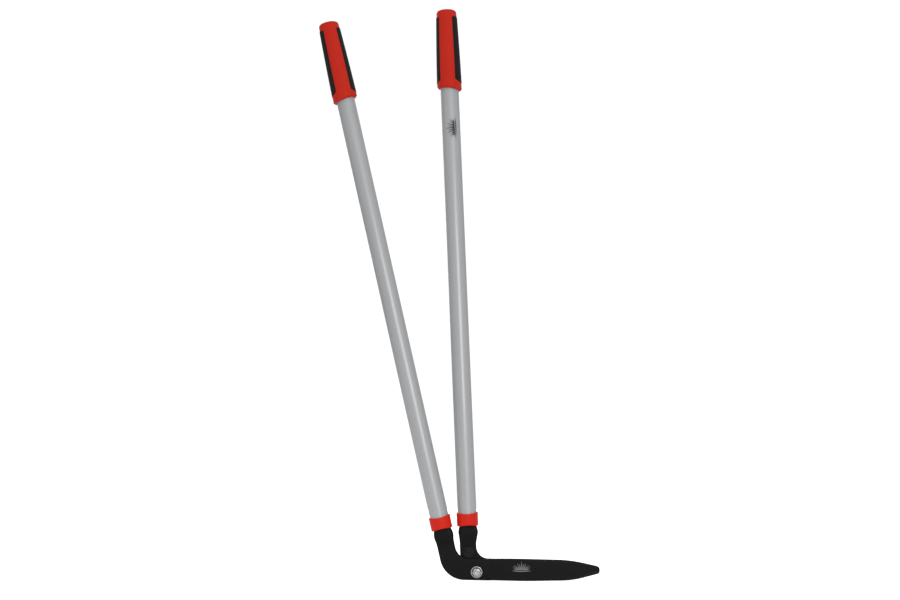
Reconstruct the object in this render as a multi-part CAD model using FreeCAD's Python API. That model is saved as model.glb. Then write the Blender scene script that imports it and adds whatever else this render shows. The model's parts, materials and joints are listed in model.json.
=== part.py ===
import FreeCAD, Part
import math
import os

# Long-handled lawn edging shears, closed, in millimetres.
#
# The origin is on the pivot's axis, midway between the two blades.
# +Z runs up towards the hand grips, +X out along the blades, and -Y is the side of the nut.
# The front lever is the blade nearer the nut with the left handle, the rear lever is the blade
# nearer the bolt's head with the right handle. Each lever is one forging: blade, shank and tang.
#
# Handle parts are drawn in the handle's own frame: +Z up the tube from the bottom edge of its
# collar, +X square to it in the plane of the levers, +Y straight back.

# Blades and shanks
PLATE_THICKNESS = 4.5
BLADE_GAP = 0.5
RUNNING_GAP = 0.05
HALF_GAP = BLADE_GAP / 2
OUTER_FACE = HALF_GAP + PLATE_THICKNESS
BLADE_REACH = 208.2
BLADE_TOP = 21.8
BLADE_BOTTOM = -15.4
REAR_TOP_RAISE = 0.4
REAR_BOTTOM_RAISE = 0.8
REAR_REACH_LOSS = 1.0
BEVEL_WIDTH = 4.5
BEVEL_DEPTH = 3.6
BEVEL_START_X = 24.0
TIP_RADIUS = 5.0
# Where the long edges bend between throat or heel and tip: along the blade, in from the edge's
# own level, and the radius of the bend.
LOWER_BENDS = [(84.0, 0.0, 800.0), (163.0, 1.1, 150.0)]
UPPER_BENDS = [(159.6, 2.4, 220.0), (62.0, 0.0, 800.0)]
TIP_RISE = 12.7
TIP_DROP = 13.1

# Handles: lean is the angle from upright, towards -X; foot_x is where the axis meets z = 0;
# collar_at is how far up the axis the collar starts, and grip_start how far above that the middle
# of the grip's rim is. grip_turn is the angle about the axis from the handle's own +X to the
# middle of the grip's outer pad. heel is the lower bend from blade to shank, as x, rise over the
# blade's lower edge and radius; throat is the upper one, x and radius.
TUBE_OUTER_RADIUS = 16.0
TUBE_BORE_RADIUS = 14.5
HANDLE_OFFSET_Y = 3.5
LEVERS = {
    "front": {
        "lean": 12.84,
        "foot_x": -42.0,
        "collar_at": 73.1,
        "grip_start": 756.4,
        "side": -1,
        "grip_turn": 183.0,
        "shank_left": -14.7,
        "shank_right": 15.2,
        "heel": (-54.0, 2.9, 42.0),
        "throat": (-31.3, 25.0),
    },
    "rear": {
        "lean": 2.35,
        "foot_x": -11.7,
        "collar_at": 76.5,
        "grip_start": 753.9,
        "side": 1,
        "grip_turn": -8.2,
        "shank_left": -14.8,
        "shank_right": 13.4,
        "heel": (-25.9, 3.3, 22.0),
        "throat": (0.8, 20.0),
    },
}
SWELL_START = 43.0
SHANK_SEAT_DEPTH = 2.5
# Sections of the shank's thick end, in the handle's frame: height, left, right, how much of the
# flat plate's offset in depth is left, thickness and corner radius.
SWELL_SECTIONS = [
    (-19.5, -15.1, 15.1, 0.2, 10.6, 3.6),
    (-10.8, -16.4, 17.1, 0.0, 14.0, 5.4),
    (-4.5, -15.6, 16.3, 0.0, 13.6, 5.6),
    (0.0, -14.4, 14.9, 0.0, 12.4, 5.2),
    (SHANK_SEAT_DEPTH, -13.6, 13.9, 0.0, 11.6, 5.0),
]

# Collar, plug and tang
COLLAR_HEIGHT = 23.4
COLLAR_TOP_RADIUS = 18.45
COLLAR_BOTTOM_RADIUS = 18.15
COLLAR_EDGE_DIP = 2.0
COLLAR_BOTTOM_ROUNDING = 2.3
COLLAR_TOP_ROUNDING = 0.6
COLLAR_LIP_TOP = 4.0
COLLAR_LIP_RADIUS = 11.5
COLLAR_SEAT_RADIUS = 15.3
PLUG_FLANGE_TOP = 5.5
PLUG_TOP = 108.0
TANG_NECK_WIDTH = 20.0
TANG_NECK_THICKNESS = 9.0
TANG_TOP = 105.0
TANG_THICKNESS = 5.0
TANG_ROOT_HALF_WIDTH = 8.0
TANG_TIP_HALF_WIDTH = 5.0
TANG_TIP_ROUNDING = 3.0
TANG_PIN_RADIUS = 2.5
TANG_PIN_HEIGHT = 13.5
SLIP_FIT = 0.05

# Hand grip, in the grip's frame: +Z up from the middle of its lower rim, +X its outer side
GRIP_LENGTH = 140.8
GRIP_RIM_RADIUS = 21.5
GRIP_NECK_RADIUS = 18.0
GRIP_NECK_HEIGHT = 126.0
GRIP_BELLY_HEIGHT = 62.0
GRIP_BELLY_RISE = 0.3
GRIP_SHOULDER_TAPER = 0.6
GRIP_CROWN_ROUNDING = 5.0
GRIP_CROWN_DOME = 0.8
GRIP_BORE_TOP = 130.0
GRIP_RIM_RAKE = 7.5
GRIP_RIM_CHAMFER = 2.5
PAD_BOTTOM = 14.4
PAD_TOP = 126.5
PAD_BOTTOM_BULGE = 4.5
PAD_TOP_BULGE = 1.5
PAD_LOW_HALF_WIDTH = 16.6
PAD_HIGH_HALF_WIDTH = 13.9
PAD_CORNER_RADIUS = 2.0
PAD_DEPTH = 1.0
PAD_RISE = 0.5

# Pivot
BOLT_RADIUS = 4.0
BOLT_HEAD_RADIUS = 10.3
BOLT_HEAD_HEIGHT = 4.6
BOLT_HEAD_RIM = 1.0
BOLT_SQUARE = 8.0
BOLT_SQUARE_CORNER_RADIUS = 5.0
BOLT_TIP_CHAMFER = 0.8
BUSH_RADIUS = 6.0
BUSH_BORE_RADIUS = BOLT_RADIUS + 0.06
WASHER_HOLE_RADIUS = 4.2
BLADE_WASHER_RADIUS = 11.0
FLAT_WASHER_RADIUS = 9.7
FLAT_WASHER_THICKNESS = 1.6
FLAT_WASHER_CHAMFER = 0.25
SPRING_WASHER_RADIUS = 8.5
SPRING_WASHER_THICKNESS = 1.0
SPRING_WASHER_HEIGHT = 1.7
NUT_ACROSS_FLATS = 13.0
NUT_HEIGHT = 8.0
NUT_CROWN_HEIGHT = 1.6
NUT_CROWN_TIP_RADIUS = 5.7
NUT_CROWN_RADIUS = 6.3
NUT_CORNER_SLOPE = 40.5
NUT_INSERT_HEIGHT = 2.0
NUT_INSERT_RADIUS = 5.3
BOLT_PROUD = 2.0

# Stop buffer on the rear shank
BUFFER_X = -13.7
BUFFER_Z = 32.5
BUFFER_RADIUS = 10.2
BUFFER_STEM_RADIUS = 3.5
BUFFER_CAP_RADIUS = 5.0
BUFFER_CAP_HEIGHT = 1.2
BUFFER_EDGE_ROUNDING = 1.5

ORIGIN = FreeCAD.Vector(0, 0, 0)
X_AXIS = FreeCAD.Vector(1, 0, 0)
Y_AXIS = FreeCAD.Vector(0, 1, 0)
Z_AXIS = FreeCAD.Vector(0, 0, 1)


# ---------------------------------------------------------------- helpers


def rounded_outline(corners):
    """Closed wire in the XZ plane through (x, z, radius) corners, each rounded by a tangent arc."""
    edges = []
    starts = []
    ends = []
    arcs = []
    count = len(corners)
    for i in range(count):
        x, z, radius = corners[i]
        corner = FreeCAD.Vector(x, 0, z)
        before = FreeCAD.Vector(corners[i - 1][0], 0, corners[i - 1][1])
        after = FreeCAD.Vector(corners[(i + 1) % count][0], 0, corners[(i + 1) % count][1])
        to_before = (before - corner).normalize()
        to_after = (after - corner).normalize()
        half_angle = to_before.getAngle(to_after) / 2
        run = radius / math.tan(half_angle)
        bisector = (to_before + to_after).normalize()
        centre = corner + bisector * (radius / math.sin(half_angle))
        starts.append(corner + to_before * run)
        ends.append(corner + to_after * run)
        arcs.append(centre - bisector * radius)
    for i in range(count):
        if corners[i][2] > 0:
            edges.append(Part.Arc(starts[i], arcs[i], ends[i]).toShape())
        following = starts[(i + 1) % count]
        if (following - ends[i]).Length > 1e-6:
            edges.append(Part.makeLine(ends[i], following))
    return Part.Wire(edges)


def plate(corners, y_low, y_high):
    """Flat plate with a rounded outline, from y_low to y_high."""
    face = Part.Face(rounded_outline(corners))
    face.translate(FreeCAD.Vector(0, y_low, 0))
    return face.extrude(FreeCAD.Vector(0, y_high - y_low, 0))


def cylinder_y(radius, y_low, y_high, x=0.0, z=0.0):
    """Cylinder along Y between two depths."""
    return Part.makeCylinder(radius, y_high - y_low, FreeCAD.Vector(x, y_low, z), Y_AXIS)


def cylinder_z(radius, z_low, z_high):
    """Cylinder round the Z axis between two heights."""
    return Part.makeCylinder(radius, z_high - z_low, FreeCAD.Vector(0, 0, z_low), Z_AXIS)


def revolved(edges):
    """Solid of revolution round Z from a profile in the XZ plane that closes on the axis."""
    face = Part.Face(Part.Wire(edges))
    return face.revolve(ORIGIN, Z_AXIS, 360)


def point(x, z):
    """Point in the XZ plane."""
    return FreeCAD.Vector(x, 0, z)


def line(start, end):
    """Straight edge."""
    return Part.makeLine(start, end)


def arc(start, middle, end):
    """Edge of a circle through three points."""
    return Part.Arc(start, middle, end).toShape()


def dome_arc(radius, base, top):
    """Edge of a spherical cap, from its rim at (radius, base) to the axis at top."""
    rise = top - base
    sphere = (radius**2 + rise**2) / (2 * rise)
    middle = point(radius / 2, top - sphere + math.sqrt(sphere**2 - radius**2 / 4))
    return arc(point(radius, base), middle, point(0, top))


def along_handle(shape, lever):
    """Move a part from the handle's frame to its place."""
    data = LEVERS[lever]
    turn = FreeCAD.Rotation(Y_AXIS, -data["lean"])
    foot = FreeCAD.Vector(data["foot_x"], data["side"] * HANDLE_OFFSET_Y, 0)
    start = foot + turn.multVec(Z_AXIS) * data["collar_at"]
    moved = shape.copy()
    moved.Placement = FreeCAD.Placement(start, turn).multiply(shape.Placement)
    return moved


def handle_point(lever, across, height):
    """World (x, z) of a point across the handle, at a height up its axis from z = 0."""
    data = LEVERS[lever]
    lean = math.radians(data["lean"])
    x = data["foot_x"] + across * math.cos(lean) - height * math.sin(lean)
    z = across * math.sin(lean) + height * math.cos(lean)
    return x, z


# ---------------------------------------------------------------- levers


def blade_corners(lever, tip_radius=TIP_RADIUS):
    """Outline of the flat part of a lever: shank, heel and blade."""
    data = LEVERS[lever]
    rear = lever == "rear"
    top = BLADE_TOP + (REAR_TOP_RAISE if rear else 0.0)
    low = BLADE_BOTTOM + (REAR_BOTTOM_RAISE if rear else 0.0)
    reach = BLADE_REACH - (REAR_REACH_LOSS if rear else 0.0)
    heel_x, heel_rise, heel_radius = data["heel"]
    throat_x, throat_radius = data["throat"]
    left_x, left_z = handle_point(lever, data["shank_left"], SWELL_START)
    right_x, right_z = handle_point(lever, data["shank_right"], SWELL_START)
    lower = [(x, low + rise, radius) for x, rise, radius in LOWER_BENDS]
    upper = [(x, top - drop, radius) for x, drop, radius in UPPER_BENDS]
    return [
        (left_x, left_z, 0.0),
        (heel_x, low + heel_rise, heel_radius),
        *lower,
        (reach, low + TIP_RISE, tip_radius),
        (reach, top - TIP_DROP, tip_radius),
        *upper,
        (throat_x, top, throat_radius),
        (right_x, right_z, 0.0),
    ]


def bevelled_plate(lever):
    """Lever's flat part with the cutting edge ground on its outer face."""
    side = LEVERS[lever]["side"]
    faces = sorted([side * HALF_GAP, side * OUTER_FACE])
    flat = plate(blade_corners(lever), faces[0], faces[1])
    # A chamfer runs on round a rounded tip, so a blade with a square tip is ground, then rounded.
    square_tipped = plate(blade_corners(lever, 0.0), faces[0], faces[1])
    blade_box = Part.makeBox(300, 20, 80, FreeCAD.Vector(BEVEL_START_X, -10, -40))
    blade = square_tipped.common(blade_box)
    body = flat.cut(blade_box)
    middle_z = (BLADE_TOP + BLADE_BOTTOM) / 2
    cutting_edges = []
    for edge in blade.Edges:
        box = edge.BoundBox
        on_outer_face = abs(box.YMin - side * OUTER_FACE) < 0.01 and box.YLength < 0.01
        runs_lengthways = box.XLength > 5
        # The rear blade cuts with its upper edge, the front blade with its lower one.
        on_cutting_side = side * (box.Center.z - middle_z) > 0
        if on_outer_face and runs_lengthways and on_cutting_side:
            cutting_edges.append(edge)
    # The first distance runs along the flank on the rear blade, along the face on the front one.
    if lever == "rear":
        blade = blade.makeChamfer(BEVEL_DEPTH, BEVEL_WIDTH, cutting_edges)
    else:
        blade = blade.makeChamfer(BEVEL_WIDTH, BEVEL_DEPTH, cutting_edges)
    return body.fuse(blade.common(flat)).removeSplitter()


def section(height, left, right, centre_y, thickness, corner):
    """Rounded rectangle across the handle, as a closed wire."""
    low_y = centre_y - thickness / 2
    high_y = centre_y + thickness / 2
    wire = rounded_outline(
        [
            (left, low_y, corner),
            (right, low_y, corner),
            (right, high_y, corner),
            (left, high_y, corner),
        ]
    )
    # The outline is drawn in XZ: tip it into XY and lift it.
    wire.rotate(ORIGIN, X_AXIS, -90)
    wire.translate(FreeCAD.Vector(0, 0, height))
    return wire


def shank_swell(lever):
    """Thick end of the shank, swelling from the flat plate to the seat in the collar."""
    data = LEVERS[lever]
    start = SWELL_START - data["collar_at"]
    plate_y = -data["side"] * (HANDLE_OFFSET_Y - (HALF_GAP + OUTER_FACE) / 2)
    left = data["shank_left"]
    right = data["shank_right"]
    rows = [
        (start, left, right, 1.0, PLATE_THICKNESS, 0.3),
        (start + 5.0, left, right + 0.1, 0.85, PLATE_THICKNESS + 1.3, 1.0),
        *SWELL_SECTIONS,
    ]
    wires = []
    for height, low_x, high_x, share, thickness, corner in rows:
        wires.append(section(height, low_x, high_x, share * plate_y, thickness, corner))
    return Part.makeLoft(wires, True, False)


def tang_neck(clearance, bottom, top):
    """Square-edged neck of the tang between two heights, grown sideways by a clearance."""
    width = TANG_NECK_WIDTH + 2 * clearance
    thickness = TANG_NECK_THICKNESS + 2 * clearance
    corner = FreeCAD.Vector(-width / 2, -thickness / 2, bottom)
    return Part.makeBox(width, thickness, top - bottom, corner)


def tang(clearance):
    """Neck through the collar's lip and the tapered tongue inside the plug."""
    half = TANG_THICKNESS / 2 + clearance
    overlap = 0.2
    neck = tang_neck(0.0, SHANK_SEAT_DEPTH - overlap, PLUG_FLANGE_TOP)
    root = PLUG_FLANGE_TOP - overlap - clearance
    top = TANG_TOP + clearance
    root_half = TANG_ROOT_HALF_WIDTH + clearance
    tip_half = TANG_TIP_HALF_WIDTH + clearance
    corners = [
        (-root_half, root, 0.0),
        (root_half, root, 0.0),
        (tip_half, top, TANG_TIP_ROUNDING),
        (-tip_half, top, TANG_TIP_ROUNDING),
    ]
    tongue = plate(corners, -half, half)
    return neck.fuse(tongue)


def pin_bore():
    """Hole for the cross pin, in the handle's frame."""
    radius = TANG_PIN_RADIUS + SLIP_FIT
    return cylinder_y(radius, -25, 25, z=TANG_PIN_HEIGHT)


def lever_forging(lever):
    """Blade, shank and tang in one piece, without the pivot's holes."""
    tongue = tang(0.0).cut(pin_bore())
    upper = along_handle(shank_swell(lever), lever)
    stalk = along_handle(tongue, lever)
    return bevelled_plate(lever).fuse([upper, stalk]).removeSplitter()


def front_blade():
    """Front lever's forging, bored for the bush."""
    bore = cylinder_y(BUSH_RADIUS, -20, 20)
    return lever_forging("front").cut(bore)


def rear_blade():
    """Rear lever's forging, with the bolt's square hole and the buffer's hole."""
    half = BOLT_SQUARE / 2 + SLIP_FIT
    square = Part.makeBox(2 * half, 40, 2 * half, FreeCAD.Vector(-half, -20, -half))
    hole = cylinder_y(BUFFER_STEM_RADIUS + SLIP_FIT, -20, 20, BUFFER_X, BUFFER_Z)
    return lever_forging("rear").cut(square).cut(hole)


# ---------------------------------------------------------------- handle parts


def handle_tube(lever):
    """Drawn tube from the plug's flange to the end of the grip's bore."""
    top = LEVERS[lever]["grip_start"] + GRIP_BORE_TOP - 0.5
    wall = cylinder_z(TUBE_OUTER_RADIUS, PLUG_FLANGE_TOP, top)
    bore = cylinder_z(TUBE_BORE_RADIUS, PLUG_FLANGE_TOP - 1, top + 1)
    return wall.cut(bore).cut(pin_bore())


def handle_socket():
    """Nylon plug that holds the tang in the tube, with a flange under the tube's end."""
    flange = cylinder_z(TUBE_OUTER_RADIUS - 0.1, COLLAR_LIP_TOP, PLUG_FLANGE_TOP)
    stem = cylinder_z(TUBE_BORE_RADIUS - SLIP_FIT, PLUG_FLANGE_TOP - 0.5, PLUG_TOP)
    neck_room = tang_neck(SLIP_FIT, COLLAR_LIP_TOP - 1, PLUG_FLANGE_TOP + 0.5)
    return flange.fuse(stem).cut(neck_room).cut(tang(SLIP_FIT)).cut(pin_bore())


def handle_collar():
    """Collar over the tube's lower end; its edges dip at the front and the back."""
    spare = 2.0
    start = Z_AXIS * -spare
    length = COLLAR_HEIGHT + 2 * spare
    outside = Part.makeCone(COLLAR_BOTTOM_RADIUS, COLLAR_TOP_RADIUS, length, start, Z_AXIS)
    dip = COLLAR_EDGE_DIP
    saddle = (COLLAR_TOP_RADIUS**2 + dip**2) / (2 * dip)
    above = cylinder_y(saddle, -30, 30)
    below = above.copy()
    # The cylinder's seam is turned away from the cut, so that each rim is one unbroken edge.
    below.rotate(ORIGIN, Y_AXIS, 180)
    above.translate(Z_AXIS * (COLLAR_HEIGHT - dip + saddle))
    below.translate(Z_AXIS * (dip - saddle))
    outside = outside.cut(above).cut(below)
    for edge in list(outside.Edges):
        if edge.BoundBox.ZMax < dip + 0.5:
            outside = outside.makeFillet(COLLAR_BOTTOM_ROUNDING, [edge])
    for edge in list(outside.Edges):
        if edge.BoundBox.ZMin > COLLAR_HEIGHT - dip - 0.5:
            outside = outside.makeFillet(COLLAR_TOP_ROUNDING, [edge])
    seat = cylinder_z(COLLAR_SEAT_RADIUS, -5, SHANK_SEAT_DEPTH)
    lip = cylinder_z(COLLAR_LIP_RADIUS, 0, COLLAR_LIP_TOP)
    bore = cylinder_z(TUBE_OUTER_RADIUS + SLIP_FIT, COLLAR_LIP_TOP, COLLAR_HEIGHT + 5)
    return outside.cut(seat).cut(lip).cut(bore)


def tang_pin():
    """Cross pin through tube, plug and tang, ending inside the collar."""
    half = TUBE_OUTER_RADIUS - 0.4
    return cylinder_y(TANG_PIN_RADIUS, -half, half, z=TANG_PIN_HEIGHT)


# ---------------------------------------------------------------- grip


def grip_body(offset):
    """Outer shape of the grip as a solid, grown by offset on its tapered side."""
    rim = GRIP_RIM_RADIUS + offset
    neck = GRIP_NECK_RADIUS + offset
    belly = (rim + neck) / 2 + GRIP_BELLY_RISE
    # The skirt runs on below the rim, which is cut at a slant afterwards.
    below = -6.0
    rounding = GRIP_CROWN_ROUNDING
    crown_height = GRIP_LENGTH - GRIP_CROWN_DOME
    shoulder_height = crown_height - rounding
    shoulder = neck - GRIP_SHOULDER_TAPER
    crown = shoulder - rounding
    halfway = rounding * math.sin(math.radians(45))
    body = revolved(
        [
            line(point(0, below), point(rim, below)),
            arc(point(rim, below), point(belly, GRIP_BELLY_HEIGHT), point(neck, GRIP_NECK_HEIGHT)),
            line(point(neck, GRIP_NECK_HEIGHT), point(shoulder, shoulder_height)),
            arc(
                point(shoulder, shoulder_height),
                point(crown + halfway, shoulder_height + halfway),
                point(crown, crown_height),
            ),
            dome_arc(crown, crown_height, GRIP_LENGTH),
            line(point(0, GRIP_LENGTH), point(0, below)),
        ]
    )
    # The seam is turned away from the pads, so that each pad's skin is one unbroken face.
    body.rotate(ORIGIN, Z_AXIS, 90)
    return body


def pad_prism(inset):
    """Prism along +X with the pad's outline: straight flanks and bulging ends."""
    low_half = PAD_LOW_HALF_WIDTH - inset
    high_half = PAD_HIGH_HALF_WIDTH - inset
    bottom = PAD_BOTTOM + inset
    top = PAD_TOP - inset
    low_left = FreeCAD.Vector(0, -low_half, bottom)
    low_right = FreeCAD.Vector(0, low_half, bottom)
    high_left = FreeCAD.Vector(0, -high_half, top)
    high_right = FreeCAD.Vector(0, high_half, top)
    outline = Part.Wire(
        [
            arc(low_left, FreeCAD.Vector(0, 0, bottom - PAD_BOTTOM_BULGE), low_right),
            line(low_right, high_right),
            arc(high_right, FreeCAD.Vector(0, 0, top + PAD_TOP_BULGE), high_left),
            line(high_left, low_left),
        ]
    )
    prism = Part.Face(outline).extrude(FreeCAD.Vector(30, 0, 0))
    corners = [edge for edge in prism.Edges if edge.BoundBox.XLength > 29 and edge.BoundBox.YLength < 0.1]
    return prism.makeFillet(PAD_CORNER_RADIUS, corners)


def grip_parts():
    """Hard sleeve and its two soft pads, in the grip's frame: (sleeve, outer pad, inner pad)."""
    outer_prism = pad_prism(0.0)
    outer_pad_prism = pad_prism(SLIP_FIT)
    inner_prism = outer_prism.mirror(ORIGIN, X_AXIS)
    floor = grip_body(-PAD_DEPTH)
    pad_floor = grip_body(SLIP_FIT - PAD_DEPTH)
    pad_skin = grip_body(PAD_RISE)

    rake = math.tan(math.radians(GRIP_RIM_RAKE))
    below_rim = plate([(-60, -60, 0), (60, -60, 0), (60, -60 * rake, 0), (-60, 60 * rake, 0)], -60, 60)
    sleeve = grip_body(0.0).cut(below_rim)
    rim_edges = [edge for edge in sleeve.Edges if edge.BoundBox.ZMax < 5]
    sleeve = sleeve.makeChamfer(GRIP_RIM_CHAMFER, rim_edges)
    sleeve = sleeve.cut(cylinder_z(TUBE_OUTER_RADIUS + SLIP_FIT, -10, GRIP_BORE_TOP))
    for prism in (outer_prism, inner_prism):
        sleeve = sleeve.cut(prism.cut(floor))

    outer_pad = outer_pad_prism.common(pad_skin).cut(pad_floor)
    return sleeve, outer_pad, outer_pad.mirror(ORIGIN, X_AXIS)


def place_grip(shape, lever):
    """Turn a grip part so that its outer side faces out, a little turned to the front."""
    moved = shape.copy()
    moved.rotate(ORIGIN, Z_AXIS, LEVERS[lever]["grip_turn"])
    moved.translate(FreeCAD.Vector(0, 0, LEVERS[lever]["grip_start"]))
    return along_handle(moved, lever)


# ---------------------------------------------------------------- pivot


def pivot_bolt():
    """Bolt with a domed head behind the rear blade and a square neck inside it."""
    head = revolved(
        [
            line(point(0, 0), point(BOLT_HEAD_RADIUS, 0)),
            line(point(BOLT_HEAD_RADIUS, 0), point(BOLT_HEAD_RADIUS, BOLT_HEAD_RIM)),
            dome_arc(BOLT_HEAD_RADIUS, BOLT_HEAD_RIM, BOLT_HEAD_HEIGHT),
            line(point(0, BOLT_HEAD_HEIGHT), point(0, 0)),
        ]
    )
    head.rotate(ORIGIN, X_AXIS, -90)
    head.translate(FreeCAD.Vector(0, OUTER_FACE, 0))
    half = BOLT_SQUARE / 2
    # The neck fills the rear blade's thickness and runs a little into the head.
    neck_corner = FreeCAD.Vector(-half, HALF_GAP, -half)
    neck = Part.makeBox(BOLT_SQUARE, PLATE_THICKNESS + 0.5, BOLT_SQUARE, neck_corner)
    neck = neck.common(cylinder_y(BOLT_SQUARE_CORNER_RADIUS, -20, 20))
    tip = nut_face() - NUT_HEIGHT - BOLT_PROUD
    shank = cylinder_y(BOLT_RADIUS, tip, OUTER_FACE)
    tip_edges = [edge for edge in shank.Edges if edge.BoundBox.YMax < tip + 0.1]
    shank = shank.makeChamfer(BOLT_TIP_CHAMFER, tip_edges)
    return head.fuse([neck, shank]).removeSplitter()


def washer_face():
    """Depth of the flat washer's inner face, just clear of the front blade."""
    return -OUTER_FACE - RUNNING_GAP


def nut_face():
    """Depth of the nut's inner face."""
    return washer_face() - FLAT_WASHER_THICKNESS - SPRING_WASHER_HEIGHT


def blade_washer():
    """Thin low-friction washer on the rear blade's inner face."""
    disc = cylinder_y(BLADE_WASHER_RADIUS, -HALF_GAP + RUNNING_GAP, HALF_GAP)
    return disc.cut(cylinder_y(WASHER_HOLE_RADIUS, -5, 5))


def pivot_bush():
    """Bush pressed in the front blade, flush with both faces."""
    ring = cylinder_y(BUSH_RADIUS, -OUTER_FACE, -HALF_GAP)
    return ring.cut(cylinder_y(BUSH_BORE_RADIUS, -20, 20))


def flat_washer():
    """Plated washer against the front blade."""
    face = washer_face()
    disc = cylinder_y(FLAT_WASHER_RADIUS, face - FLAT_WASHER_THICKNESS, face)
    outer_edges = [edge for edge in disc.Edges if edge.BoundBox.YLength < 0.01]
    disc = disc.makeChamfer(FLAT_WASHER_CHAMFER, outer_edges)
    return disc.cut(cylinder_y(WASHER_HOLE_RADIUS, -20, 20))


def spring_washer():
    """Conical washer with its wide rim on the flat washer."""
    hole = WASHER_HOLE_RADIUS
    rim = SPRING_WASHER_RADIUS
    rise = SPRING_WASHER_HEIGHT - SPRING_WASHER_THICKNESS
    ring = revolved(
        [
            line(point(rim, 0), point(rim, SPRING_WASHER_THICKNESS)),
            line(point(rim, SPRING_WASHER_THICKNESS), point(hole, SPRING_WASHER_HEIGHT)),
            line(point(hole, SPRING_WASHER_HEIGHT), point(hole, rise)),
            line(point(hole, rise), point(rim, 0)),
        ]
    )
    ring.rotate(ORIGIN, X_AXIS, 90)
    ring.translate(FreeCAD.Vector(0, washer_face() - FLAT_WASHER_THICKNESS, 0))
    return ring


def pivot_nut():
    """Hexagon lock nut with chamfered corners and a seat for the nylon ring."""
    corner_radius = NUT_ACROSS_FLATS / math.sqrt(3)
    corners = []
    for i in range(6):
        angle = math.radians(60 * i)
        corners.append((corner_radius * math.cos(angle), corner_radius * math.sin(angle), 0.0))
    outer = nut_face() - NUT_HEIGHT
    shoulder = outer + NUT_CROWN_HEIGHT
    overlap = 0.2
    hexagon = plate(corners, shoulder, nut_face())
    crown_start = FreeCAD.Vector(0, outer, 0)
    crown = Part.makeCone(
        NUT_CROWN_TIP_RADIUS, NUT_CROWN_RADIUS, NUT_CROWN_HEIGHT + overlap, crown_start, Y_AXIS
    )
    # A cone through the crown's foot bevels the corners of the hexagon.
    cone_length = 9.0
    cone_end = NUT_CROWN_RADIUS + cone_length * math.tan(math.radians(NUT_CORNER_SLOPE))
    cone_start = FreeCAD.Vector(0, shoulder, 0)
    bevel_cone = Part.makeCone(NUT_CROWN_RADIUS, cone_end, cone_length, cone_start, Y_AXIS)
    nut = hexagon.common(bevel_cone).fuse(crown)
    bore = cylinder_y(BOLT_RADIUS + SLIP_FIT, -40, 40)
    seat = cylinder_y(NUT_INSERT_RADIUS, outer - 1, outer + NUT_INSERT_HEIGHT)
    return nut.cut(bore).cut(seat)


def nut_insert():
    """Nylon locking ring in the nut's outer end."""
    outer = nut_face() - NUT_HEIGHT
    ring = cylinder_y(NUT_INSERT_RADIUS - SLIP_FIT, outer + 0.1, outer + NUT_INSERT_HEIGHT)
    return ring.cut(cylinder_y(BOLT_RADIUS + SLIP_FIT, -40, 40))


def stop_buffer():
    """Rubber stop on the rear shank, with a stem through it and a cap behind."""
    disc = cylinder_y(BUFFER_RADIUS, -OUTER_FACE, HALF_GAP, BUFFER_X, BUFFER_Z)
    front_edges = [edge for edge in disc.Edges if edge.BoundBox.YMax < -OUTER_FACE + 0.01]
    disc = disc.makeFillet(BUFFER_EDGE_ROUNDING, front_edges)
    stem = cylinder_y(BUFFER_STEM_RADIUS, HALF_GAP, OUTER_FACE + 0.5, BUFFER_X, BUFFER_Z)
    cap = cylinder_y(BUFFER_CAP_RADIUS, OUTER_FACE, OUTER_FACE + BUFFER_CAP_HEIGHT, BUFFER_X, BUFFER_Z)
    return disc.fuse([stem, cap]).removeSplitter()


# ---------------------------------------------------------------- build


def build_nodes():
    """Every piece in its place, by node name."""
    nodes = {
        "front_blade": front_blade(),
        "rear_blade": rear_blade(),
        "pivot_bush": pivot_bush(),
        "pivot_bolt": pivot_bolt(),
        "blade_washer": blade_washer(),
        "flat_washer": flat_washer(),
        "spring_washer": spring_washer(),
        "pivot_nut": pivot_nut(),
        "nut_insert": nut_insert(),
        "stop_buffer": stop_buffer(),
    }
    sleeve, outer_pad, inner_pad = grip_parts()
    for lever in LEVERS:
        nodes[lever + "_tube"] = along_handle(handle_tube(lever), lever)
        nodes[lever + "_socket"] = along_handle(handle_socket(), lever)
        nodes[lever + "_collar"] = along_handle(handle_collar(), lever)
        nodes[lever + "_tang_pin"] = along_handle(tang_pin(), lever)
        nodes[lever + "_grip"] = place_grip(sleeve, lever)
        nodes[lever + "_grip_pad_outer"] = place_grip(outer_pad, lever)
        nodes[lever + "_grip_pad_inner"] = place_grip(inner_pad, lever)
    return nodes


os.makedirs("parts", exist_ok=True)
for name, shape in sorted(build_nodes().items()):
    solids = len(shape.Solids)
    print(name, "solids", solids, "valid", shape.isValid(), "volume", round(shape.Volume, 1))
    shape.exportStep("parts/" + name + ".step")
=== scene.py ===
"""The looks of a pair of long-handled lawn edging shears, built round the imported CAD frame.

Every size below is in millimetres and turns into metres when a mesh is made.
World axes are the frame's: +Z up the handles, +X out along the blades, -Y towards the viewer.
"""

import json
import math

import bmesh
import bpy
import numpy as np
from mathutils import Matrix, Vector


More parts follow.
